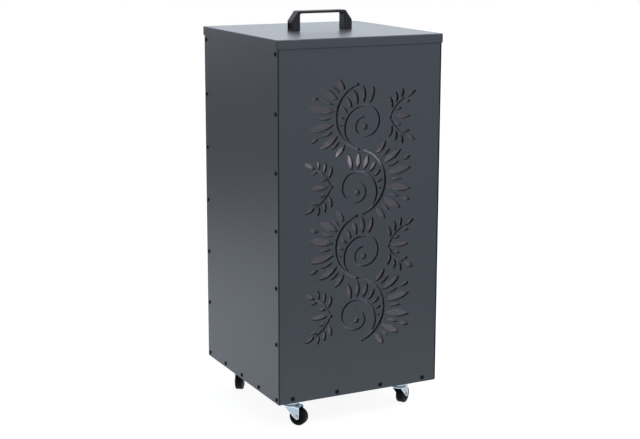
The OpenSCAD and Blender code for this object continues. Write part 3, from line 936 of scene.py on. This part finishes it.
def arc(centre: Flat, radius: float, start: float, end: float, count: int) -> list[Flat]:
    """Lays points on an arc, with both ends.

    Args:
        centre: its middle.
        radius: its radius.
        start: the first point's angle, in degrees.
        end: the last point's angle.
        count: how many steps it has.

    Returns:
        The points.
    """
    angles = [math.radians(start + (end - start) * i / count) for i in range(count + 1)]
    return [(centre[0] + radius * math.cos(a), centre[1] + radius * math.sin(a)) for a in angles]


def in_metres(profile: Profile) -> list[Flat]:
    """Returns in metres a profile that is written in millimetres."""
    return [(r * MM, z * MM) for r, z in profile]


def both_sides(profile: Profile) -> list[Flat]:
    """Returns the closed ring of which a profile, written in millimetres, is the upper half."""
    return in_metres(profile) + [(r * MM, -z * MM) for r, z in reversed(profile[1:-1])]


# ---------------------------------------------------------------- sheet-metal pieces


@dataclass
class PanLid:
    """The lid: a sheet folded down on four sides, its corners closed and dressed."""

    half: float = 192.4 * MM
    top: float = 826.0 * MM
    skirt: float = 18.5 * MM
    thickness: float = 1.2 * MM
    fold: float = 2.0 * MM
    fold_steps: int = 5
    corner: float = 2.4 * MM
    corner_steps: int = 4
    edge: float = 0.2 * MM
    edge_angle: float = 60.0
    groove_in: float = 3.0 * MM
    groove_w: float = 0.4 * MM
    groove_deep: float = 0.5 * MM
    groove_below: float = 2.4 * MM

    def build(self) -> Piece:
        """Folds the lid and closes its corners.

        Returns:
            The lid.
        """
        rim, folded = self.top - SLACK, self.skirt / 2
        low = (-self.half, -self.half, self.top - self.skirt)
        lid = Bench.block("pan_lid", low, (self.half, self.half, self.top))
        Bench.pick(lid, "FACE", lambda centre, normal: normal.z < -SQUARE_ON)
        bpy.ops.mesh.delete(type="FACE")
        Bench.close_edit()
        Bench.bevel(lid, lambda a, b: abs(a.z - b.z) > folded, self.corner, self.corner_steps)
        Bench.bevel(lid, lambda a, b: a.z > rim and b.z > rim, self.fold, self.fold_steps)
        self.seam(lid)
        Bench.modify(
            lid, "SOLIDIFY", thickness=self.thickness, offset=-1.0, use_even_offset=True
        )
        Bench.round_off(lid, self.edge, segments=1, angle=self.edge_angle)
        self.flatten(lid)
        return lid

    def seam(self, lid: Piece) -> None:
        """Cuts the fine vertical groove where a side rim meets the front or rear rim.

        Args:
            lid: the folded lid, before its sheet has a thickness.
        """
        edges = (self.half - self.groove_in, self.half - self.groove_in - self.groove_w)
        for sign in (-1, 1):
            for place in edges:
                Bench.bisect(lid, (0, sign * place, 0), Axis.Y.value)
        middle, below = sum(edges) / 2, self.top - self.groove_below
        Bench.inset(
            lid,
            lambda centre, normal: abs(normal.x) > SQUARE_ON and centre.z < below
            and abs(abs(centre.y) - middle) < self.groove_w / 2,
            (0.0, -self.groove_deep), each=False,
        )

    def flatten(self, lid: Piece) -> None:
        """Presses the points that the rounding pushed out at the seams back into the skirt."""
        for point in lid.data.vertices:
            point.co.x = max(-self.half, min(self.half, point.co.x))

    def dress(self) -> None:
        """Ties the lid to its body."""
        finish_piece(self.build(), "lid", ANTHRACITE, ["lid"])


@dataclass
class GasketFrame:
    """The foam strip between the front panel and the pane, with its pressed edges."""

    node: str = "pane_gasket"
    width: float = 12.0 * MM
    soft: float = 0.35 * MM
    soft_steps: int = 3

    def build(self) -> Piece:
        """Cuts the frame out of a block and rounds the strip's edges.

        Returns:
            The strip.
        """
        low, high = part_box(self.node)
        strip = Bench.block("foam_frame", tuple(low), tuple(high))
        Bench.pick(strip, "FACE", lambda centre, normal: abs(normal.y) > SQUARE_ON)
        bpy.ops.mesh.inset(thickness=self.width, depth=0.0, use_individual=True)
        bpy.ops.mesh.bridge_edge_loops()
        Bench.weld(strip)
        Bench.round_off(strip, self.soft, self.soft_steps)
        return strip

    def dress(self) -> None:
        """Ties the strip to its body."""
        finish_piece(self.build(), "bin", FOAM, [self.node])


# ---------------------------------------------------------------- handle


@dataclass
class BridgeHandle:
    """The moulded bridge handle: two ribbed legs with sloped shoulders and a thin grip bar."""

    length: float = 144.0 * MM
    height: float = 42.0 * MM
    depth: float = 23.5 * MM
    foot: float = 19.5 * MM
    bar: float = 5.6 * MM
    slope_w: float = 15.6 * MM
    slope_h: float = 21.4 * MM
    base: float = 826.0 * MM
    edge: float = 1.1 * MM
    edge_steps: int = 3
    edge_angle: float = 38.0
    inner_round: float = 4.0 * MM
    inner_steps: int = 5
    shoulder_round: float = 2.2 * MM
    shoulder_steps: int = 3
    pocket_wall: float = 2.6 * MM
    pocket_draft: float = 0.4 * MM
    pocket_deep: float = 6.0 * MM
    rib_t: float = 1.6 * MM
    rib_gap: float = 5.2 * MM
    rib_back: float = 0.9 * MM
    rib_root: float = 0.5 * MM
    rib_edge: float = 0.35 * MM
    smooth: float = 45.0

    def outline(self) -> list[Point]:
        """Draws the handle from the front.

        Returns:
            Its outline, at its front face.
        """
        a, b = self.length / 2, self.length / 2 - self.foot
        top, under = self.base + self.height, self.base + self.height - self.bar
        shoulder = top - self.slope_h
        r = self.inner_round
        half = [(b, self.base), *arc((b - r, under - r), r, 0, 90, self.inner_steps)]
        outer = [(a - self.slope_w, top), (a, shoulder), (a, self.base)]
        left = [(-x, z) for x, z in reversed(half)]
        around = outer + half + left + [(-x, z) for x, z in reversed(outer)]
        return [(x, -self.depth / 2, z) for x, z in around]

    def build(self) -> Piece:
        """Moulds the handle, sinks the pockets in its ends and sets the ribs.

        Returns:
            The handle.
        """
        handle = Bench.sheet("bridge_handle", self.outline(), (0, self.depth, 0))
        end, foot_top = self.length / 2 - self.edge, self.base + self.bar
        Bench.bevel(
            handle,
            lambda p, q: abs(p.y - q.y) > self.depth / 2 and p.z > foot_top
            and abs(p.x) > end - self.slope_w,
            self.shoulder_round, self.shoulder_steps,
        )
        Bench.inset(
            handle,
            lambda centre, normal: abs(normal.x) > SQUARE_ON and abs(centre.x) > end,
            (self.pocket_wall, 0.0), (self.pocket_draft, -self.pocket_deep),
        )
        Bench.round_off(handle, self.edge, segments=self.edge_steps, angle=self.edge_angle)
        return Bench.join("bridge_handle", handle, *self.ribs())

    def ribs(self) -> list[Piece]:
        """Moulds the upright ribs inside the pockets of both ends.

        Returns:
            The ribs.
        """
        face = self.length / 2 - self.rib_back
        root = self.length / 2 - self.pocket_deep - self.rib_root
        bottom = self.base + self.pocket_wall
        top = self.base + self.height - self.slope_h - self.pocket_wall
        made = []
        for side in (-1, 1):
            for place in (-self.rib_gap / 2, self.rib_gap / 2):
                x0, x1 = sorted((side * face, side * root))
                low = (x0, place - self.rib_t / 2, bottom)
                rib = Bench.block("handle_rib", low, (x1, place + self.rib_t / 2, top))
                Bench.round_off(rib, self.rib_edge)
                made.append(rib)
        return made

    def dress(self) -> None:
        """Ties the handle to the lid."""
        finish_piece(self.build(), "lid", HANDLE_PLASTIC, ["lid_handle"], self.smooth)


# ---------------------------------------------------------------- screws


@dataclass
class ButtonScrews:
    """The black button-head screws: domed heads with a hexagon socket."""

    head_r: float = 5.0 * MM
    head_h: float = 2.6 * MM
    head_foot: float = 0.1 * MM
    lip: float = 0.35 * MM
    lip_rise: float = 0.05 * MM
    dome_rings: int = 6
    dome_share: float = 7.6
    turn_steps: int = 24
    shank_r: float = 2.5 * MM
    shank_l: float = 12.0 * MM
    tip_in: float = 0.4 * MM
    tip_up: float = 0.5 * MM
    socket_r: float = 1.55 * MM
    socket_deep: float = 1.6 * MM
    socket_turn: float = 0.3
    each_turn: float = 47.0
    half: float = 190.0 * MM
    inset: float = 10.0 * MM
    low_z: float = 76.0 * MM
    high_z: float = 797.0 * MM
    rows: int = 7
    across: int = 5
    front_half: float = 157.0 * MM
    front_across: int = 4
    smooth: float = 32.0

    def dome(self) -> list[Flat]:
        """Draws half the section of the head.

        Returns:
            Its profile, from its foot to its flat top.
        """
        rim, foot = self.head_r, self.head_foot
        crown = (rim**2 + self.head_h**2) / (2 * self.head_h)
        dome = [(rim - foot, 0.0), (rim, foot), (rim, self.lip)]
        for ring in range(1, self.dome_rings + 1):
            r = rim * (1 - ring / self.dome_share)
            z = self.head_h - crown + math.sqrt(crown**2 - r**2)
            dome.append((r, max(z, self.lip + self.lip_rise * ring)))
        return dome

    def pattern(self) -> Piece:
        """Turns one screw with its head on z = 0 and broaches its socket.

        Returns:
            The pattern that all the screws are copied from.
        """
        dome = self.dome()
        top = dome[-1][1]
        shank = [
            (0.0, -self.shank_l), (self.shank_r - self.tip_in, -self.shank_l),
            (self.shank_r, -self.shank_l + self.tip_up), (self.shank_r, 0.0),
        ]
        screw = Bench.lathe("button_screw", [*shank, *dome, (0.0, top)], False, self.turn_steps)
        Bench.clear()
        bpy.ops.mesh.primitive_cylinder_add(
            vertices=6, radius=self.socket_r, depth=2 * self.socket_deep, location=(0, 0, top),
            rotation=(0, 0, self.socket_turn),
        )
        key = Bench.name(bpy.context.object, "socket_key")
        Bench.settle(key)
        Bench.modify(screw, "BOOLEAN", operation="DIFFERENCE", object=key, solver="EXACT")
        Bench.scrap(key)
        return screw

    def side_places(self) -> list[Flat]:
        """Lays out a side panel's screws.

        Returns:
            Their places on the face, as (along, height).
        """
        edge = self.half - self.inset
        step = (self.high_z - self.low_z) / (self.rows - 1)
        columns = [(s * edge, self.low_z + step * i) for s in (-1, 1) for i in range(self.rows)]
        between = [-edge + 2 * edge * i / (self.across - 1) for i in range(1, self.across - 1)]
        return columns + [(y, self.low_z) for y in between]

    def front_places(self) -> list[Flat]:
        """Returns the (along, height) places of the front panel's screws."""
        step = 2 * self.front_half / (self.front_across - 1)
        return [(-self.front_half + step * i, self.low_z) for i in range(self.front_across)]

    def row(self, pattern: Piece, name: str, places: list[Flat], quarter: int) -> Piece:
        """Copies the pattern to its places on one side of the bin.

        Args:
            pattern: the pattern screw.
            name: the new piece's name.
            places: the screws' places on the face, as (along, height).
            quarter: 0 front, 1 right, 2 rear, 3 left.

        Returns:
            All the screws of the side as one piece.
        """
        made = []
        for index, (along, height) in enumerate(places):
            screw = Bench.copy(pattern, f"{name}_{index}")
            Bench.turn(screw, self.each_turn * index, Axis.Z)
            Bench.turn(screw, 90.0, Axis.X)
            Bench.shift(screw, (along, -self.half, height))
            made.append(screw)
        side = Bench.join(name, *made)
        Bench.turn(side, 90.0 * quarter, Axis.Z)
        return side

    def dress(self) -> None:
        """Sets the screws on the four sides."""
        pattern = self.pattern()
        sides = (
            ("front_button_screws", self.front_places(), 0, "front_screws"),
            ("right_button_screws", self.side_places(), 1, "right_side_screws"),
            ("rear_button_screws", self.front_places(), 2, "rear_screws"),
            ("left_button_screws", self.side_places(), 3, "left_side_screws"),
        )
        for name, places, quarter, node in sides:
            row = self.row(pattern, name, places, quarter)
            finish_piece(row, "bin", BLACK_SCREW, [node], self.smooth)
        Bench.scrap(pattern)


# ---------------------------------------------------------------- casters


@dataclass
class SwivelCaster:
    """One pattern caster round the origin, trailing along +X, and its copies at the corners.

    The profiles are points of (radius, height) in millimetres. The ball cup's and the crown's
    stand on the kingpin's line, and the rivet end's, the hub's and the tread's on the axle's line,
    from the middle of the wheel outwards.
    """

    inset: float = 133.0 * MM
    trail: float = 18.0 * MM
    wheel_r: float = 19.0 * MM
    top: float = 54.5 * MM
    plate_t: float = 2.0 * MM
    plate_half: float = 23.0 * MM
    plate_corner: float = 4.5 * MM
    plate_corner_steps: int = 5
    plate_edge: float = 0.35 * MM
    strip_top: float = 43.4 * MM
    leg_in: float = 9.3 * MM
    leg_out: float = 11.1 * MM
    leg_back: float = 10.0 * MM
    back_end: float = 37.5 * MM
    tip_r: float = 5.2 * MM
    tip_share: float = 0.96
    tip_steps: int = 6
    heel_round: float = 1.9 * MM
    heel_steps: int = 4
    shoulder: float = 3.0 * MM
    shoulder_steps: int = 4
    inner_steps: int = 3
    rim_w: float = 1.5 * MM
    panel_draft: float = 0.5 * MM
    panel_deep: float = 0.55 * MM
    leg_edge: float = 0.3 * MM
    leg_edge_angle: float = 35.0
    rim_bright: float = 0.4 * MM
    crown_bright: float = 17.1 * MM
    rib_from: float = 5.8 * MM
    rib_to: float = 10.8 * MM
    rib_low: float = 6.2 * MM
    rib_high: float = 7.6 * MM
    rib_t: float = 1.2 * MM
    rib_edge: float = 0.2 * MM
    rib_count: int = 6
    wheel_steps: int = 64
    axle_steps: int = 32
    smooth: float = 35.0
    cup: Profile = (
        (15.35, 46.7), (16.5, 46.6), (16.85, 47.0), (16.85, 50.2), (17.3, 51.3), (18.5, 52.1),
        (20.3, 52.55), (20.3, 53.0), (4.1, 53.0), (4.1, 48.1), (15.1, 48.1), (15.35, 47.8),
    )
    crown: Profile = (
        (4.15, 41.75), (17.0, 41.75), (17.45, 42.2), (17.45, 43.0), (17.0, 43.45), (15.4, 43.5),
        (14.7, 43.8), (14.55, 44.6), (14.1, 44.88), (12.9, 44.88), (12.3, 44.5), (11.7, 44.5),
        (11.1, 44.88), (9.9, 44.88), (9.5, 44.6), (9.2, 43.6), (4.15, 43.5),
    )
    rivet_end: Profile = (
        (3.0, 0.0), (3.0, 11.15), (4.6, 11.15), (4.6, 11.55), (3.9, 12.05), (2.6, 12.2),
        (2.2, 11.95), (0.0, 11.85),
    )
    hub_half: Profile = (
        (3.06, 0.0), (3.06, 8.98), (5.7, 8.98), (6.0, 8.7), (6.15, 6.7), (8.4, 6.5), (8.7, 7.3),
        (9.4, 7.3), (9.7, 6.5), (10.3, 6.5), (10.7, 8.2), (11.0, 8.45), (13.1, 8.45),
        (13.45, 8.1), (13.45, 0.0),
    )
    tread_half: Profile = (
        (18.75, 0.0), (18.95, 0.12), (18.95, 0.5), (18.98, 5.6), (18.8, 6.9), (18.3, 7.8),
        (17.4, 8.35), (16.6, 8.48), (16.2, 8.48), (15.9, 8.2), (15.5, 8.2), (15.2, 8.48),
        (13.9, 8.48), (13.5, 8.2), (13.5, 0.0),
    )

    def plate(self) -> Piece:
        """Presses the square top plate with its ball cup.

        Returns:
            The plate.
        """
        h, low = self.plate_half, self.top - self.plate_t
        plate = Bench.block("caster_plate", (-h, -h, low), (h, h, self.top))
        upright = self.plate_t / 2
        Bench.bevel(
            plate, lambda a, b: abs(a.z - b.z) > upright, self.plate_corner, self.plate_corner_steps
        )
        Bench.round_off(plate, self.plate_edge)
        return Bench.join("caster_plate", plate, Bench.lathe("ball_cup", in_metres(self.cup)))

    def leg_section(self) -> list[Flat]:
        """Draws the section of the bent strip: both legs and the crown between them.

        Returns:
            The section, as (across, height).
        """
        r, bottom = self.shoulder, self.wheel_r - self.tip_r
        bend = (self.leg_out - r, self.strip_top - r)
        inner_r = r - (self.leg_out - self.leg_in)
        outside = [(self.leg_out, bottom), *arc(bend, r, 0, 90, self.shoulder_steps)]
        inside = [*arc(bend, inner_r, 90, 0, self.inner_steps), (self.leg_in, bottom)]
        far_side = [(-y, z) for y, z in reversed(outside)] + [(-y, z) for y, z in reversed(inside)]
        return outside + far_side + inside

    def leg_strip(self) -> Piece:
        """Bends the fork's crown and legs from one strip and trims the legs to the axle.

        Returns:
            The bent strip.
        """
        front = self.trail + self.tip_r
        outline = [(-self.leg_back, y, z) for y, z in self.leg_section()]
        strip = Bench.sheet("leg_strip", outline, (front + self.leg_back, 0, 0))
        start = Vector((-self.leg_back, 0, self.back_end))
        reach = Vector((self.trail, 0, self.wheel_r)) - start
        lean = math.atan2(reach.z, reach.x) - math.asin(self.tip_r / reach.length)
        Bench.bisect(strip, start, (math.sin(lean), 0, -math.cos(lean)), trim=True)
        Bench.weld(strip)
        low = self.wheel_r - self.tip_r + SLACK

        def at_bottom(a: Vector, b: Vector) -> bool:
            """Tells whether an edge runs through a leg's thickness at its bottom."""
            return abs(a.y - b.y) > MM and a.z < low and b.z < low

        Bench.bevel(
            strip, lambda a, b: at_bottom(a, b) and a.x > front - SLACK,
            self.tip_r * self.tip_share, self.tip_steps,
        )
        Bench.bevel(
            strip, lambda a, b: at_bottom(a, b) and a.x < self.trail - MM,
            self.heel_round, self.heel_steps,
        )
        return strip

    def fork(self) -> Piece:
        """Presses the fork: legs with a raised rim, a round crown and the lower race.

        Returns:
            The fork.
        """
        strip = self.leg_strip()
        outside, bright = self.leg_out - 2 * SLACK, self.leg_out - self.rim_bright
        Bench.inset(
            strip, lambda centre, normal: abs(normal.y) > SQUARE_ON and abs(centre.y) > outside,
            (self.rim_w, 0.0), (self.panel_draft, -self.panel_deep),
        )
        Bench.round_off(strip, self.leg_edge, angle=self.leg_edge_angle)
        Bench.weld(strip)
        # painted highlight on the legs' raised rims and on the crown's outer edge
        Bench.painted_highlight(strip, lambda centre, normal: abs(centre.y) > bright)
        crown = Bench.lathe("fork_crown", in_metres(self.crown), steps=self.wheel_steps)
        Bench.painted_highlight(crown, lambda centre, normal: centre.xy.length > self.crown_bright)
        return Bench.join("caster_fork", strip, crown)

    def across(self, piece: Piece) -> Piece:
        """Lays a turned piece across the wheel, on the axle's line.

        Args:
            piece: the piece, turned round the origin.

        Returns:
            The same piece.
        """
        Bench.turn(piece, 90.0, Axis.X)
        Bench.shift(piece, (self.trail, 0, self.wheel_r))
        return piece

    def axle(self) -> Piece:
        """Turns the axle rivet with its domed ends.

        Returns:
            The axle, across the wheel.
        """
        half = in_metres(self.rivet_end)
        profile = [(r, -z) for r, z in reversed(half)] + half[1:]
        return self.across(Bench.lathe("caster_axle", profile, False, self.axle_steps))

    def hub(self) -> Piece:
        """Turns the hub with its rings and sets its ribs.

        Returns:
            The hub.
        """
        hub = Bench.lathe("wheel_hub", both_sides(self.hub_half), steps=self.wheel_steps)
        ribs = []
        for side in (-1, 1):
            z0, z1 = sorted((side * self.rib_low, side * self.rib_high))
            for index in range(self.rib_count):
                low = (self.rib_from, -self.rib_t / 2, z0)
                rib = Bench.block("hub_rib", low, (self.rib_to, self.rib_t / 2, z1))
                Bench.round_off(rib, self.rib_edge, segments=1)
                Bench.turn(rib, 360.0 / self.rib_count * index, Axis.Z)
                ribs.append(rib)
        return self.across(Bench.join("wheel_hub", hub, *ribs))

    def tread(self) -> Piece:
        """Moulds the tyre with rounded shoulders, a wall groove and a parting line.

        Returns:
            The tread.
        """
        ring = both_sides(self.tread_half)
        return self.across(Bench.lathe("wheel_tread", ring, steps=self.wheel_steps))

    def dress(self) -> None:
        """Builds the pattern caster, and copies it to the four corners."""
        patterns = {
            "caster_plate": (self.plate(), ZINC_PLATE, "", False),
            "fork": (self.fork(), ZINC_PLATE, "_swivel", True),
            "axle": (self.axle(), BRIGHT_STEEL, "_swivel", True),
            "hub": (self.hub(), HUB_PLASTIC, "_wheel", True),
            "tread": (self.tread(), TREAD_RUBBER, "_wheel", True),
        }
        for corner in Corner:
            name, x, y, angle = corner.value
            for part, (pattern, finish, body, turns) in patterns.items():
                piece = Bench.copy(pattern, f"{name}_detailed_{part}")
                if turns:
                    Bench.turn(piece, angle, Axis.Z)
                Bench.shift(piece, (x * self.inset, y * self.inset, 0))
                carrier = name + body if body else "bin"
                finish_piece(piece, carrier, finish, [f"{name}_{part}"], self.smooth)
        Bench.scrap(*[pattern for pattern, *_ in patterns.values()])


# ---------------------------------------------------------------- the frame's own pieces


@dataclass
class FrameNodes:
    """The CAD nodes that stay: each gets the finish of its slot."""

    panels: tuple[tuple[str, Finish], ...] = (
        ("front_panel", FACE_PANEL), ("rear_panel", FACE_PANEL),
        ("left_side_panel", SIDE_PANEL), ("right_side_panel", SIDE_PANEL),
    )

    def dress(self) -> None:
        """Assigns every node's material by the record's slot, and the panels' own coat to them."""
        by_slot = {finish.slot.value: finish for finish in FINISHES}
        own = dict(self.panels)
        for row in frame["record"]["subparts"]:
            node = frame["nodes"][row["node"]]
            material = own.get(row["node"], by_slot[row["material_slot"]]).material()
            node.data.materials.clear()
            node.data.materials.append(material)
            if not node.hide_render:
                LOG.info("%s: CAD solid in %s", row["node"], material.name)


# ---------------------------------------------------------------- studio


@dataclass
class Studio:
    """A white studio: pale floor, bright backdrop, dimmer room, and the photograph's camera."""

    camera_at: Point = (-1.3617, -2.6909, 1.0735)
    yaw: float = -26.867
    pitch: float = 11.649
    roll: float = 0.168
    focal_px: float = 1396.13
    frame_w: float = 640.0
    sensor: float = 36.0
    shift_y: float = -0.0305
    far_end: float = 60.0
    floor_half: float = 9.0
    floor_z: float = -0.5 * MM
    floor_colour: Colour = (0.82, 0.82, 0.82)
    floor_shade: Colour = (0.18, 0.18, 0.18)
    floor_glow: float = 0.91
    light_tint: Colour = (0.86, 0.925, 1.0)
    backdrop_way: Point = (0.68, 0.73, 0.0)
    backdrop_edge: Flat = (0.05, 0.95)
    backdrop_light: float = 1.75
    room_light: float = 0.60
    pool_at: Point = (-0.55, 0.55, 0.0)
    pool_reach: Flat = (0.2, 2.4)
    pool_light: Flat = (1.15, 0.25)
    lamps_aim: Point = (0.0, 0.0, 0.45)

    def camera(self) -> None:
        """Places the camera at the photograph's viewpoint."""
        yaw, pitch, roll = (math.radians(v) for v in (self.yaw, self.pitch, self.roll))
        level = Vector((-math.sin(yaw), math.cos(yaw), 0)) * math.cos(pitch)
        ahead = level - Vector((0, 0, math.sin(pitch)))
        right = Vector((math.cos(yaw), math.sin(yaw), 0))
        up = right.cross(ahead)
        across = right * math.cos(roll) + up * math.sin(roll)
        above = up * math.cos(roll) - right * math.sin(roll)
        data = bpy.data.cameras.new("photo_camera")
        data.sensor_width = self.sensor
        data.lens = self.focal_px / self.frame_w * self.sensor
        data.shift_y = self.shift_y
        data.clip_end = self.far_end
        camera = bpy.data.objects.new("photo_camera", data)
        bpy.context.scene.collection.objects.link(camera)
        turn = Matrix((across, above, -ahead)).transposed().to_4x4()
        camera.matrix_world = Matrix.Translation(self.camera_at) @ turn
        bpy.context.scene.camera = camera

    def graded(self, recipe: Recipe, value: object, reach: Flat, light: Flat) -> Socket:
        """Grades a light smoothly.

        Args:
            recipe: the tree's recipe.
            value: the socket that it follows.
            reach: the value at which the grade begins and the one at which it ends.
            light: the light's strength at both.

        Returns:
            The strength.
        """
        node = recipe.add(
            "ShaderNodeMapRange", {"interpolation_type": "SMOOTHSTEP"}, Value=value,
            From_Min=reach[0], From_Max=reach[1], To_Min=light[0], To_Max=light[1],
        )
        return node.outputs[0]

    def floor(self) -> None:
        """Lays the pale floor.

        The camera sees it white apart from the bin's soft shadow, gloss sees the pool of light on
        it, and from below nothing sees it.
        """
        Bench.clear()
        bpy.ops.mesh.primitive_plane_add(size=2 * self.floor_half, location=(0, 0, self.floor_z))
        floor = Bench.name(bpy.context.object, "studio_floor")
        Bench.settle(floor)
        material = bpy.data.materials.new("studio_floor_paper")
        recipe = Recipe.fresh(material)
        shade = recipe.add("ShaderNodeBsdfDiffuse", Color=rgba(self.floor_shade))
        glow = recipe.add("ShaderNodeEmission", Color=rgba(WHITE), Strength=self.floor_glow)
        seen = recipe.add("ShaderNodeAddShader", in_0=shade.outputs[0], in_1=glow.outputs[0])
        place = recipe.add("ShaderNodeTexCoord").outputs["Object"]
        away = recipe.vector_maths("DISTANCE", place, self.pool_at)
        pool = self.graded(recipe, away, self.pool_reach, self.pool_light)
        sheen = recipe.add("ShaderNodeEmission", Color=rgba(self.light_tint), Strength=pool)
        paper = recipe.add("ShaderNodeBsdfDiffuse", Color=rgba(self.floor_colour))
        glossy = recipe.add("ShaderNodeLightPath").outputs["Is Glossy Ray"]
        lit = recipe.either(recipe.seen_directly(), recipe.either(glossy, paper, sheen), seen)
        below = recipe.add("ShaderNodeNewGeometry").outputs["Backfacing"]
        one_way = recipe.either(below, lit, recipe.add("ShaderNodeBsdfTransparent"))
        recipe.add("ShaderNodeOutputMaterial", Surface=one_way.outputs[0])
        floor.data.materials.append(material)

    def world(self) -> None:
        """Lights the studio from its backdrop and its room, and shows white behind the bin."""
        world = bpy.data.worlds.new("studio_world")
        bpy.context.scene.world = world
        recipe = Recipe.fresh(world)
        way = recipe.add("ShaderNodeTexCoord").outputs["Generated"]
        along = recipe.vector_maths("DOT_PRODUCT", way, self.backdrop_way)
        level = self.graded(
            recipe, along, self.backdrop_edge, (self.room_light, self.backdrop_light)
        )
        light = recipe.add("ShaderNodeBackground", Color=rgba(self.light_tint), Strength=level)
        white = recipe.add("ShaderNodeBackground", Color=rgba(WHITE), Strength=1.0)
        mixed = recipe.either(recipe.seen_directly(), light, white)
        recipe.add("ShaderNodeOutputWorld", Surface=mixed.outputs[0])

    def lamp(self, name: str, at: Point, size: Flat, power: float) -> None:
        """Hangs a soft box that faces the middle of the bin.

        Args:
            name: its name.
            at: its place, in metres.
            size: the width and height of its face.
            power: its power in watts.
        """
        data = bpy.data.lights.new(name, "AREA")
        data.shape = "RECTANGLE"
        data.size, data.size_y = size
        data.energy = power
        lamp = bpy.data.objects.new(name, data)
        bpy.context.scene.collection.objects.link(lamp)
        lamp.location = at
        lamp.visible_camera = False
        aim = Vector(self.lamps_aim) - Vector(at)
        lamp.rotation_euler = aim.to_track_quat("-Z", "Y").to_euler()

    def build(self) -> None:
        """Sets up the camera, floor, world and lamps."""
        self.camera()
        self.floor()
        self.world()
        self.lamp("overhead_box", at=(0.9, -1.8, 3.0), size=(2.4, 2.4), power=75.0)
        self.lamp("low_strip", at=(1.12, -2.44, 0.13), size=(0.36, 0.05), power=0.08)
        bpy.context.scene.view_settings.view_transform = "Standard"


def main() -> None:
    """Builds the studio and every piece in order."""
    logging.basicConfig(level=logging.INFO, format="%(name)s: %(message)s")
    Studio().build()
    assemblies = (
        PanLid(), GasketFrame(), BridgeHandle(), ButtonScrews(), SwivelCaster(), FrameNodes()
    )
    for assembly in assemblies:
        LOG.info("building %s", type(assembly).__name__)
        assembly.dress()
    Bench.clear()


if __name__ == "__main__":
    main()
